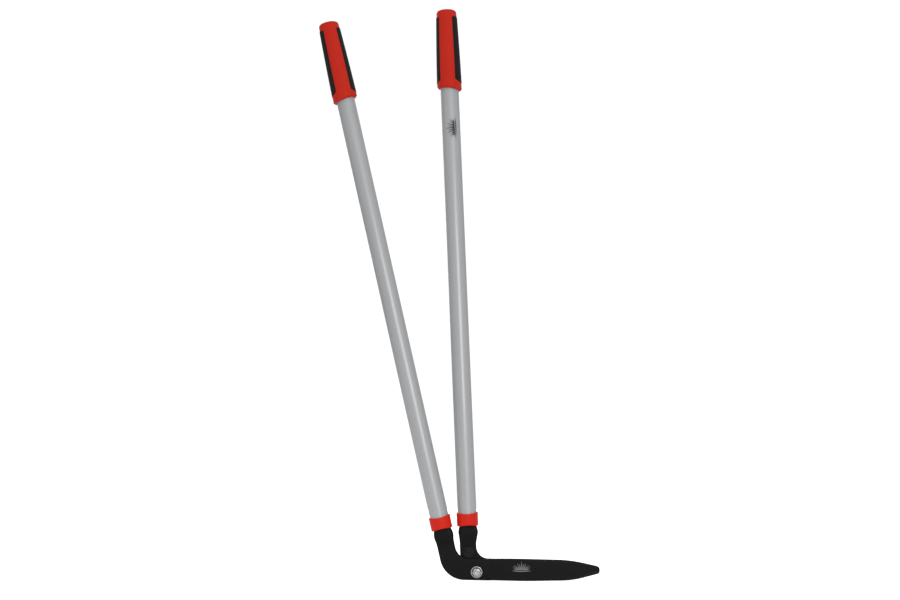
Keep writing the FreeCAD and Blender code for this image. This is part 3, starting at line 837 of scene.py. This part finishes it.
def rim_profile():
    """Rim from the grip's side round to its bore: (inset from the side, height over the rim)."""
    wall = RIM_RADIUS - GRIP_BORE
    bore_start = 3.0
    corners = [
        (0.0, 2 * RIM_CHAMFER, 0.0),
        (0.0, RIM_CHAMFER, 1.0),
        (RIM_CHAMFER, 0.0, 1.0),
        (wall, 0.0, 0.6),
        (wall, bore_start, 0.0),
    ]
    return rounded(corners)[1:]


def crown_profile():
    """Grip's closed end from the shoulder to its middle: (radius, height)."""
    break_radius, break_drop, break_rounding = DOME_BREAK
    corners = [
        (SHOULDER_RADIUS, SHOULDER_HEIGHT, 0.0),
        (CROWN_RADIUS, GRIP_HEIGHT - CROWN_DROP, CROWN_ROUNDING),
        (break_radius, GRIP_HEIGHT - break_drop, break_rounding),
        (0.0, GRIP_HEIGHT, 0.0),
    ]
    return rounded(corners, step=10.0)[1:]


def grip_sleeve(lever, material):
    """Hard red sleeve: bored for the tube, closed at its end, with a recess for each soft pad."""
    columns = sleeve_columns()
    lower_steps = 8
    upper_steps = 6
    lower = [(i / lower_steps) ** 2 for i in range(lower_steps, -1, -1)]
    upper = [(i / upper_steps) ** 2 for i in range(upper_steps + 1)]
    rows = []
    base_angles = [sleeve_side_point(column, "below", 1.0)[0] for column in columns]
    top_angles = [sleeve_side_point(column, "above", 1.0)[0] for column in columns]
    rows.append([(angle, 0.0, GRIP_BORE_TOP) for angle in base_angles])
    for height in (GRIP_BORE_TOP, *BORE_RINGS):
        rows.append([(angle, GRIP_BORE, height) for angle in base_angles])
    for inset, rise in reversed(rim_profile()):
        row = []
        for angle in base_angles:
            radius = RIM_RADIUS - inset
            row.append((angle, radius, rim_plane(radius, angle) + rise))
        rows.append(row)
    for zone, shares in (("below", lower), ("pads", graded(*PAD_ALONG)), ("above", upper)):
        for share in shares:
            rows.append([sleeve_side_point(column, zone, share) for column in columns])
    for radius, height in crown_profile():
        rows.append([(angle, radius, height) for angle in top_angles])
    vertices = [polar(*point) for row in rows for point in row]
    faces = grid_faces(len(rows), len(columns), False)
    piece = new_piece(lever + "_sleeve", vertices, faces, grip_matrix(lever), sharp_angle=40.0)
    return dress(piece, lever + "_lever", "red_grip", material, lever + "_grip")


def soft_pad(lever, side, material):
    """Soft strip moulded into the sleeve's recess, standing a little proud with rounded edges."""
    edge_radius = 0.9
    shares_across = graded(*PAD_ACROSS)
    shares_along = graded(*PAD_ALONG)
    middle = side * math.pi
    vertices = []
    # Each row of points goes over the pad's skin and comes back along its floor.
    for along in shares_along:
        skin = []
        floor = []
        for across in shares_across:
            angle, height, beside, beyond = pad_grid_point(across, along)
            # The pad is a hair smaller than its recess all round.
            angle += middle - across * PAD_GAP / NECK_RADIUS
            height -= along * PAD_GAP
            radius = side_radius(height)
            proud = PAD_RISE - edge_drop(min(-beside, -beyond), edge_radius)
            skin.append(polar(angle, radius + proud, height))
            floor.append(polar(angle, radius + PAD_GAP - PAD_DEPTH, height))
        vertices += [*skin, *reversed(floor)]
    width = 2 * len(shares_across)
    faces = grid_faces(len(shares_along), width, False)
    for start in (0, len(vertices) - width):
        end = start + width - 1
        for k in range(len(shares_across) - 1):
            faces.append((start + k, start + k + 1, end - k - 1, end - k))
    where = "inner" if side else "outer"
    name = f"{lever}_{where}_pad"
    piece = new_piece(name, vertices, faces, grip_matrix(lever), sharp_angle=40.0)
    return dress(piece, lever + "_lever", "soft_pad", material, f"{lever}_grip_pad_{where}")


# ------------------------------------------------------------------ pivot


def square_radius(angle, half, rounding):
    """Distance from the middle of a square to its side, with its corners turned down."""
    quarter = (angle + math.pi / 4) % (math.pi / 2) - math.pi / 4
    return min(half / math.cos(quarter), rounding)


def hexagon_radius(angle):
    """Distance from the nut's middle to its side, with a corner at angle zero."""
    sixth = angle % (math.pi / 3) - math.pi / 6
    return NUT_ACROSS_FLATS / 2 / math.cos(sixth)


def bolt_thread(angle, height, start, end):
    """Radius of the bolt's thread, fading out at both ends of its stretch."""
    phase = (height / THREAD_PITCH - angle / (2 * math.pi)) % 1.0
    groove = 1 - abs(2 * phase - 1)
    fade_run = 0.5
    fade = min(1.0, max(0.0, (height - start) / fade_run), max(0.0, (end - height) / fade_run))
    return BOLT_RADIUS - THREAD_DEPTH * groove * fade


def bolt(material):
    """Pivot bolt: domed head behind, square neck in the rear blade, threaded end in the nut."""
    head_base = -OUTER_FACE
    rim = 1.0
    neck_seat = 1.3 * BOLT_SQUARE_HALF
    neck_corner = 1.25 * BOLT_SQUARE_HALF
    neck_taper = 0.5
    end_dimple = 0.3
    end = BOLT_END
    chamfer = 0.8
    chamfer_start = end - chamfer
    thread_end = chamfer_start + 0.3
    thread_start = NUT_BASE + NUT_HEIGHT - 1.5
    steps_per_turn = 10
    rise = BOLT_HEAD_HEIGHT - rim
    sphere = (BOLT_HEAD_RADIUS**2 + rise**2) / (2 * rise)
    opening = math.asin(BOLT_HEAD_RADIUS / sphere)
    dome_steps = 14
    dome = []
    for k in range(dome_steps + 1):
        angle = opening * k / dome_steps
        drop = sphere * (1 - math.cos(angle))
        dome.append((sphere * math.sin(angle), head_base - BOLT_HEAD_HEIGHT + drop))
    corners = [
        (*dome[-1], 0.0),
        (BOLT_HEAD_RADIUS, head_base - rim * 0.95, 0.3),
        (BOLT_HEAD_RADIUS, head_base, 0.2),
        (neck_seat, head_base, 0.0),
    ]
    edge = rounded(corners)

    def profile_at(angle):
        neck = square_radius(angle, BOLT_SQUARE_HALF, neck_corner)
        profile = [*dome[:-1], *edge[1:]]
        profile += [(neck, head_base), (neck, -HALF_GAP - neck_taper), (BOLT_RADIUS, -HALF_GAP)]
        steps = round((chamfer_start - thread_start) / (THREAD_PITCH / steps_per_turn))
        for k in range(steps + 1):
            height = thread_start + (chamfer_start - thread_start) * k / steps
            profile.append((bolt_thread(angle, height, thread_start, thread_end), height))
        profile += [(BOLT_RADIUS - chamfer, end), (BOLT_RADIUS / 2, end), (1.0, end - 0.25)]
        return [*profile, (0.0, end - end_dimple)]

    piece = turned("bolt", profile_at, SMALL_ROUND, pivot_matrix())
    return dress(piece, "rear_lever", "plated_steel", material, "pivot_bolt")


def plain_washer(material):
    """Punched washer: one edge rolled over by the punch, the other crisp."""
    base = WASHER_BASE
    top = base + WASHER_THICKNESS
    corners = [
        (WASHER_HOLE, base, 0.15),
        (WASHER_RADIUS, base, 0.15),
        (WASHER_RADIUS, top, 0.45),
        (WASHER_HOLE, top, 0.3),
    ]
    profile = rounded(corners, closed=True, step=15.0)
    piece = turned("plain_washer", lambda _: profile, LARGE_ROUND, pivot_matrix())
    return dress(piece, "rear_lever", "plated_steel", material, "flat_washer")


def conical_washer(material):
    """Conical spring washer, its wide rim on the plain washer."""
    base = WASHER_BASE + WASHER_THICKNESS
    rise = SPRING_HEIGHT - SPRING_THICKNESS
    corners = [
        (SPRING_RADIUS, base, 0.12),
        (SPRING_RADIUS, base + SPRING_THICKNESS, 0.25),
        (WASHER_HOLE, base + SPRING_HEIGHT, 0.12),
        (WASHER_HOLE, base + rise, 0.12),
    ]
    profile = rounded(corners, closed=True, step=15.0)
    piece = turned("conical_washer", lambda _: profile, LARGE_ROUND, pivot_matrix())
    return dress(piece, "rear_lever", "spring_steel", material, "spring_washer")


def lock_nut(material):
    """Hexagon nut with turned corners and a round crown rolled over its nylon ring."""
    bore = BOLT_RADIUS + FIT
    bore_chamfer = 0.3
    face_radius = 6.25
    crown_radius = 6.1
    lip_radius = 4.9
    lip_bottom = NUT_HEIGHT - 0.8
    seat_height = 6.2
    slope = math.tan(math.radians(30))

    def profile_at(angle):
        side = hexagon_radius(angle)
        turned_off = (side - face_radius) * slope
        corners = [
            (side, NUT_HEX_HEIGHT - turned_off, 0.0),
            (crown_radius, NUT_HEX_HEIGHT, 0.0),
            (crown_radius - 0.1, NUT_HEIGHT, 0.9),
            (lip_radius, NUT_HEIGHT - 0.15, 0.25),
            (lip_radius, lip_bottom, 0.0),
        ]
        crown = rounded(corners)
        return [
            (bore, bore_chamfer),
            (bore + bore_chamfer, 0.0),
            (face_radius, 0.0),
            (side, turned_off),
            *crown,
            (INSERT_RADIUS, lip_bottom),
            (INSERT_RADIUS, seat_height),
            (bore, seat_height),
        ]

    lift = pivot_matrix() @ Matrix.Translation((0.0, 0.0, NUT_BASE))
    piece = turned("lock_nut", profile_at, MIDDLE_ROUND, lift, sharp_angle=24.0)
    return dress(piece, "rear_lever", "plated_steel", material, "pivot_nut")


def nylon_ring(material):
    """Nylon ring that grips the bolt's thread inside the nut's crown."""
    nut_top = NUT_BASE + NUT_HEIGHT
    inside = BOLT_RADIUS + FIT
    outside = INSERT_RADIUS - FIT
    corners = [
        (inside, nut_top - 1.8, 0.1),
        (outside, nut_top - 1.8, 0.1),
        (outside, nut_top - 0.85, 0.1),
        (4.85, nut_top - 0.75, 0.1),
        (4.8, nut_top - 0.35, 0.2),
        (inside, nut_top - 0.55, 0.15),
    ]
    profile = rounded(corners, closed=True, step=30.0)
    piece = turned("nylon_ring", lambda _: profile, SMALL_ROUND, pivot_matrix())
    return dress(piece, "rear_lever", "nut_nylon", material, "nut_insert")


def stop_buffer(material):
    """Rubber stop: a low dome with a stepped rim, a stem through the shank and a cap behind."""
    front = OUTER_FACE
    cap_radius = 5.0
    cap_height = 1.2
    corners = [
        (3.0, front, 0.0),
        (7.2, front - 0.15, 0.5),
        (7.5, front - 0.55, 0.4),
        (9.0, front - 0.85, 2.0),
        (BUFFER_RADIUS, front - 2.2, 1.2),
        (BUFFER_RADIUS, -HALF_GAP, 0.2),
        (BUFFER_STEM, -HALF_GAP, 0.0),
        (BUFFER_STEM, -OUTER_FACE, 0.0),
        (cap_radius, -OUTER_FACE, 0.3),
        (cap_radius, -OUTER_FACE - cap_height, 0.8),
        (0.0, -OUTER_FACE - cap_height, 0.0),
    ]
    profile = [(0.0, front), *rounded(corners)]
    piece = turned("rubber_stop", lambda _: profile, SMALL_ROUND, pivot_matrix(*BUFFER_CENTRE))
    return dress(piece, "rear_lever", "buffer_rubber", material, "stop_buffer")


# ------------------------------------------------------------------ printed marks


def grass_blade(lean, height, curl, width, steps=12):
    """Middle line and half widths of one drawn blade of grass, in units of the mark's height."""
    line = []
    for k in range(steps + 1):
        share = k / steps
        x = math.sin(lean) * height * share + curl * share**2
        z = math.cos(lean) * height * share
        line.append((x, z, width * (1 - share) ** 0.7 / 2 + 0.008))
    return line


def mark_strips():
    """Strips that make up the mark, a generic tuft of grass over a line of ground."""
    strips = []
    count = 11
    tallest = 0.95
    stroke = 0.17
    for i in range(count):
        spread = 2 * i / (count - 1) - 1
        height = tallest - 0.45 * abs(spread) - (0.0 if i % 2 else 0.14)
        blade = grass_blade(0.5 * spread, height, 0.3 * spread, stroke)
        strips.append([(x + 0.78 * spread, z, half) for x, z, half in blade])
    ground = []
    ground_steps = 16
    for k in range(ground_steps + 1):
        share = 2 * k / ground_steps - 1
        bulge = 1 - share**2
        ground.append((1.25 * share, -0.06 - 0.07 * bulge, 0.02 + 0.04 * bulge))
    strips.append(ground)
    return strips


def mark_mesh(size, place):
    """Thin raised ink of the mark. place(across, up, lift) puts a point on its surface."""
    width, height = size
    vertices = []
    faces = []
    for strip in mark_strips():
        start = len(vertices)
        is_ground = abs(strip[-1][0] - strip[0][0]) > 2
        for x, z, half in strip:
            side_x, side_z = (0.0, half) if is_ground else (half, 0.0)
            for lift in (0.0, PRINT_THICKNESS):
                for sign in (-1, 1):
                    across = (x + sign * side_x) * width / 2.5
                    up = (z + sign * side_z - 0.45) * height
                    vertices.append(place(across, up, lift))
        for k in range(len(strip) - 1):
            low = start + 4 * k
            high = low + 4
            for a, b in ((0, 1), (1, 3), (3, 2), (2, 0)):
                faces.append((low + a, low + b, high + b, high + a))
        last = start + 4 * (len(strip) - 1)
        faces.append((start, start + 2, start + 3, start + 1))
        faces.append((last, last + 1, last + 3, last + 2))
    return vertices, faces


def blade_print(material):
    """Mark printed on the front blade's face."""
    centre_x, centre_z = BLADE_PRINT_CENTRE
    surface = -OUTER_FACE - 0.01

    def place(across, up, lift):
        return (centre_x + across, surface - lift, centre_z + up)

    vertices, faces = mark_mesh(BLADE_PRINT_SIZE, place)
    piece = new_piece("blade_print", vertices, faces, IN_METRES)
    return dress(piece, "front_lever", "coated_blade_steel", material)


def tube_print(material):
    """The same mark printed along the rear tube, reading up the handle."""
    surface = TUBE_RADIUS + 0.01
    facing = math.radians(TUBE_PRINT_TURN)

    def place(across, up, lift):
        angle = facing - up / TUBE_RADIUS
        return polar(angle, surface + lift, TUBE_PRINT_HEIGHT + across)

    vertices, faces = mark_mesh(TUBE_PRINT_SIZE, place)
    piece = new_piece("tube_print", vertices, faces, handle_matrix("rear"))
    return dress(piece, "rear_lever", "handle_tube", material)


# ------------------------------------------------------------------ materials


def feed(tree, socket, value):
    """Link a socket to a node's output, or set its value."""
    if isinstance(value, bpy.types.NodeSocket):
        tree.links.new(value, socket)
    else:
        socket.default_value = value


def add_node(tree, kind, **inputs):
    """New shader node with its inputs fed; an underscore in an input's name stands for a space."""
    node = tree.nodes.new("ShaderNode" + kind)
    for name, value in inputs.items():
        feed(tree, node.inputs[name.replace("_", " ")], value)
    return node


def map_range(tree, factor, start, end, low, high):
    """Number that goes from low to high as a factor goes from start to end."""
    span = add_node(tree, "MapRange", Value=factor, From_Min=start, From_Max=end, To_Min=low, To_Max=high)
    return span.outputs["Result"]


class Look:
    """A material under construction: a Principled shader fed by noise in the object's own space."""

    def __init__(self, name, metallic=0.0, tilt=0.0, **settings):
        self.material = bpy.data.materials.new(name)
        self.material.use_nodes = True
        self.tree = self.material.node_tree
        self.shader = self.tree.nodes["Principled BSDF"]
        self.feed(Metallic=metallic, **settings)
        self.place = add_node(self.tree, "TexCoord").outputs["Object"]
        if tilt:
            turn = add_node(self.tree, "Mapping", Vector=self.place, Rotation=(0.0, tilt, 0.0))
            self.place = turn.outputs["Vector"]

    def feed(self, **inputs):
        """Feed the shader's own inputs."""
        for name, value in inputs.items():
            feed(self.tree, self.shader.inputs[name.replace("_", " ")], value)

    def noise(self, per_metre, detail=3.0, stretch=(1.0, 1.0, 1.0)):
        """Noise with so many grains to the metre, which may differ along each axis."""
        place = add_node(self.tree, "Mapping", Vector=self.place, Scale=stretch).outputs["Vector"]
        noise = add_node(self.tree, "TexNoise", Vector=place, Scale=per_metre, Detail=detail)
        feed(self.tree, noise.inputs["Roughness"], NOISE_ROUGHNESS)
        return noise.outputs["Fac"]

    def cells(self, per_metre):
        """Distance to the middle of the nearest of so many cells to the metre."""
        return add_node(self.tree, "TexVoronoi", Vector=self.place, Scale=per_metre).outputs["Distance"]

    def between(self, factor, low, high, start=0.3, end=0.7):
        """Number from low to high as a factor goes from start to end."""
        return map_range(self.tree, factor, start, end, low, high)

    def colour(self, factor, low, high, start=0.3, end=0.7):
        """Base colour from low to high as a factor goes from start to end."""
        ramp = add_node(self.tree, "ValToRGB", Fac=factor)
        stops = ramp.color_ramp.elements
        for stop, position, colour in ((stops[0], start, low), (stops[1], end, high)):
            stop.position = position
            stop.color = (*colour, 1.0)
        self.feed(Base_Color=ramp.outputs["Color"])

    def roughness(self, factor, low, high):
        """Roughness from low to high with a factor."""
        self.feed(Roughness=self.between(factor, low, high))

    def bumps(self, *layers):
        """Layers of relief: (factor, height in millimetres)."""
        below = {}
        for factor, height in layers:
            bump = add_node(self.tree, "Bump", Height=factor, Strength=1.0, Distance=height * MM, **below)
            below = {"Normal": bump.outputs["Normal"]}
        self.feed(**below)


def coated_steel():
    """Satin black low-friction coating over forged steel."""
    look = Look("coated_steel", Specular_IOR_Level=0.1)
    broad = look.noise(26.0, 4.0)
    fine = look.noise(1400.0, 2.0)
    look.colour(broad, (0.0056, 0.0054, 0.0055), (0.0076, 0.0073, 0.0074))
    look.roughness(broad, 0.42, 0.56)
    look.bumps((look.noise(160.0, 3.0), 0.05), (fine, 0.02))
    return look.material


def ground_steel():
    """The same coating over the ground bevel, which shows the wheel's fine cross lines."""
    look = Look("ground_bevel", Specular_IOR_Level=0.16)
    lines = look.noise(2600.0, 2.0, (1.0, 0.04, 0.04))
    look.colour(lines, (0.0075, 0.0075, 0.0078), (0.0120, 0.0118, 0.0118))
    look.roughness(look.noise(40.0), 0.36, 0.46)
    look.bumps((lines, 0.015))
    return look.material


def silver_tube(lever):
    """Satin silver finish on drawn aluminium, with faint lines along the tube."""
    axis = handle_matrix(lever).to_3x3() @ Vector((0.0, 0.0, 1.0))
    tilt = -math.atan2(axis.x, axis.z)
    look = Look(lever + "_silver", metallic=0.25, tilt=tilt, Specular_IOR_Level=0.5)
    drawn = look.noise(900.0, 3.0, (1.0, 1.0, 0.012))
    broad = look.noise(14.0, 3.0, (1.0, 1.0, 0.35))
    look.colour(drawn, (0.385, 0.395, 0.402), (0.425, 0.435, 0.443), 0.2, 0.8)
    look.roughness(broad, 0.34, 0.40)
    look.bumps((drawn, 0.010), (look.noise(3000.0, 1.0), 0.004))
    return look.material


def moulded_red(name, low, high, rough):
    """Moulded red plastic with a fine spark-eroded grain."""
    look = Look(name, Specular_IOR_Level=0.12)
    flow = look.noise(30.0, 3.0, (1.0, 1.0, 0.4))
    look.colour(flow, low, high)
    look.roughness(look.noise(420.0, 2.0), rough - 0.05, rough + 0.05)
    look.bumps((look.noise(2200.0, 2.0), 0.022), (look.noise(90.0, 2.0), 0.03))
    return look.material


def soft_rubber(name, grain):
    """Matt black soft plastic with a pebbled skin."""
    look = Look(name, Specular_IOR_Level=0.12, Sheen_Weight=0.02, Sheen_Roughness=0.5)
    look.colour(look.noise(60.0, 4.0), (0.0085, 0.0085, 0.0088), (0.0125, 0.0125, 0.0128))
    look.roughness(look.noise(500.0, 2.0), 0.58, 0.72)
    look.bumps((look.cells(grain), 0.05), (look.noise(2600.0, 2.0), 0.012))
    return look.material


def bright_zinc():
    """Bright zinc plating: faintly mottled, with small scratches from the spanner."""
    look = Look("bright_zinc", metallic=1.0)
    mottle = look.noise(500.0, 4.0)
    look.colour(mottle, (0.48, 0.49, 0.50), (0.62, 0.63, 0.62))
    look.roughness(look.noise(900.0, 3.0), 0.12, 0.22)
    scratches = look.noise(1800.0, 2.0, (1.0, 1.0, 0.08))
    look.bumps((scratches, 0.008), (look.noise(350.0, 2.0), 0.02))
    return look.material


def turned_steel():
    """Plain turned steel of the bush and the cross pins."""
    look = Look("turned_steel", metallic=1.0)
    rings = look.noise(1500.0, 2.0, (0.05, 1.0, 1.0))
    look.colour(rings, (0.42, 0.42, 0.43), (0.55, 0.55, 0.56))
    look.roughness(look.noise(300.0), 0.3, 0.42)
    look.bumps((rings, 0.01))
    return look.material


def spring_steel_painted_shade():
    """Spring steel made near-black as painted shade in the gap between the plain washer and the nut."""
    look = Look("spring_steel_painted_shade", metallic=0.6)
    look.colour(look.noise(600.0, 3.0), (0.028, 0.028, 0.029), (0.055, 0.055, 0.056))
    look.roughness(look.noise(300.0), 0.38, 0.5)
    look.bumps((look.noise(1800.0, 2.0), 0.01))
    return look.material


def nylon(name, low, high):
    """Moulded nylon, slightly cloudy."""
    look = Look(name, Specular_IOR_Level=0.4)
    look.colour(look.noise(220.0, 3.0), low, high)
    look.roughness(look.noise(700.0), 0.38, 0.5)
    look.bumps((look.noise(900.0, 2.0), 0.02))
    return look.material


def ink(name, low, high):
    """Screen-printed ink, a little uneven."""
    look = Look(name, Specular_IOR_Level=0.3)
    look.colour(look.noise(1500.0, 4.0), low, high)
    look.roughness(look.noise(600.0), 0.5, 0.65)
    look.bumps((look.noise(2500.0, 2.0), 0.01))
    return look.material


def dress_node(name, material):
    """Give a CAD node that stays in view its finish."""
    for slot in frame["nodes"][name].material_slots:
        slot.material = material


# ------------------------------------------------------------------ stage


def area_light(name, location, target, size, watts):
    """Soft rectangular light aimed at a point."""
    data = bpy.data.lights.new(name, "AREA")
    data.shape = "RECTANGLE"
    data.size, data.size_y = size
    data.energy = watts
    light = new_object(name, data)
    light.location = location
    aim = Vector(target) - Vector(location)
    light.rotation_euler = aim.to_track_quat("-Z", "Y").to_euler()


def white_world():
    """White beyond the floor; as light it is bright in front of the object and dim elsewhere."""
    world = bpy.data.worlds.new("white")
    world.use_nodes = True
    tree = world.node_tree
    tree.nodes.clear()
    place = add_node(tree, "TexCoord").outputs["Generated"]
    parts = add_node(tree, "SeparateXYZ", Vector=place).outputs
    to_front = map_range(tree, parts["Y"], -1.0, 0.4, 1.0, 0.6)
    upward = map_range(tree, parts["Z"], -0.25, 0.6, 0.34, 1.22)
    strength = add_node(tree, "Math")
    strength.operation = "MULTIPLY"
    tree.links.new(to_front, strength.inputs[0])
    tree.links.new(upward, strength.inputs[1])
    white = (1.0, 1.0, 1.0, 1.0)
    lighting = add_node(tree, "Background", Color=white, Strength=strength.outputs["Value"])
    seen = add_node(tree, "Background", Color=white, Strength=1.05)
    rays = add_node(tree, "LightPath").outputs["Is Camera Ray"]
    mix = add_node(tree, "MixShader", Fac=rays)
    tree.links.new(lighting.outputs["Background"], mix.inputs[1])
    tree.links.new(seen.outputs["Background"], mix.inputs[2])
    add_node(tree, "OutputWorld", Surface=mix.outputs["Shader"])
    bpy.context.scene.world = world


def pale_floor(level):
    """Plain white floor just under the blades."""
    half = FLOOR_HALF
    mesh = bpy.data.meshes.new("floor")
    corners = [(-half, -half, level), (half, -half, level), (half, half, level), (-half, half, level)]
    mesh.from_pydata(corners, [], [(0, 1, 2, 3)])
    floor = new_object("floor", mesh)
    look = Look("floor_white", Emission_Color=(1.0, 1.0, 1.0, 1.0))
    look.colour(look.noise(6.0), (0.88, 0.88, 0.88), (0.90, 0.90, 0.90))
    rays = add_node(look.tree, "LightPath").outputs["Is Camera Ray"]
    look.feed(Emission_Strength=look.between(rays, 0.0, FLOOR_GLOW, 0.0, 1.0))
    mesh.materials.append(look.material)


def camera():
    """Camera low in front of the handles, tipped up a little."""
    data = bpy.data.cameras.new("camera")
    data.sensor_width = 36.0
    data.lens = CAMERA_LENS
    data.clip_end = 50.0
    view = new_object("camera", data)
    view.location = CAMERA_PLACE
    view.rotation_euler = (math.radians(CAMERA_TILT), 0.0, 0.0)
    bpy.context.scene.camera = view


# ------------------------------------------------------------------ build

black = (coated_steel(), ground_steel())
zinc = bright_zinc()
grip_red = moulded_red("grip_red", (0.525, 0.0180, 0.0072), (0.555, 0.0205, 0.0087), 0.42)
collar_red = moulded_red("collar_red", (0.605, 0.0185, 0.0080), (0.645, 0.0210, 0.0095), 0.36)
pad_black = soft_rubber("pad_rubber", 900.0)
pin_steel = turned_steel()
plug_nylon = nylon("plug_nylon", (0.045, 0.045, 0.045), (0.06, 0.06, 0.06))

for lever in LEVERS:
    forging(lever, black)
    handle_tube(lever, silver_tube(lever))
    collar(lever, collar_red)
    grip_sleeve(lever, grip_red)
    for side in (0, 1):
        soft_pad(lever, side, pad_black)
    dress_node(lever + "_socket", plug_nylon)
    dress_node(lever + "_tang_pin", pin_steel)

bolt(zinc)
plain_washer(zinc)
# The conical washer's near-black steel is painted shade between the nut and the plain washer.
conical_washer(spring_steel_painted_shade())
lock_nut(zinc)
nylon_ring(nylon("ring_nylon", (0.62, 0.63, 0.60), (0.74, 0.75, 0.72)))
stop_buffer(soft_rubber("buffer_rubber", 1300.0))
blade_print(ink("grey_ink", (0.13, 0.125, 0.125), (0.22, 0.21, 0.21)))
tube_print(ink("dark_ink", (0.018, 0.018, 0.019), (0.034, 0.034, 0.036)))
dress_node("pivot_bush", pin_steel)
dress_node("blade_washer", nylon("slide_nylon", (0.58, 0.58, 0.55), (0.68, 0.68, 0.65)))

white_world()
pale_floor(cad_box[0].z - FLOOR_DROP)
for name, settings in LIGHTS.items():
    area_light(name, *settings)
camera()
bpy.context.scene.view_settings.view_transform = "Standard"
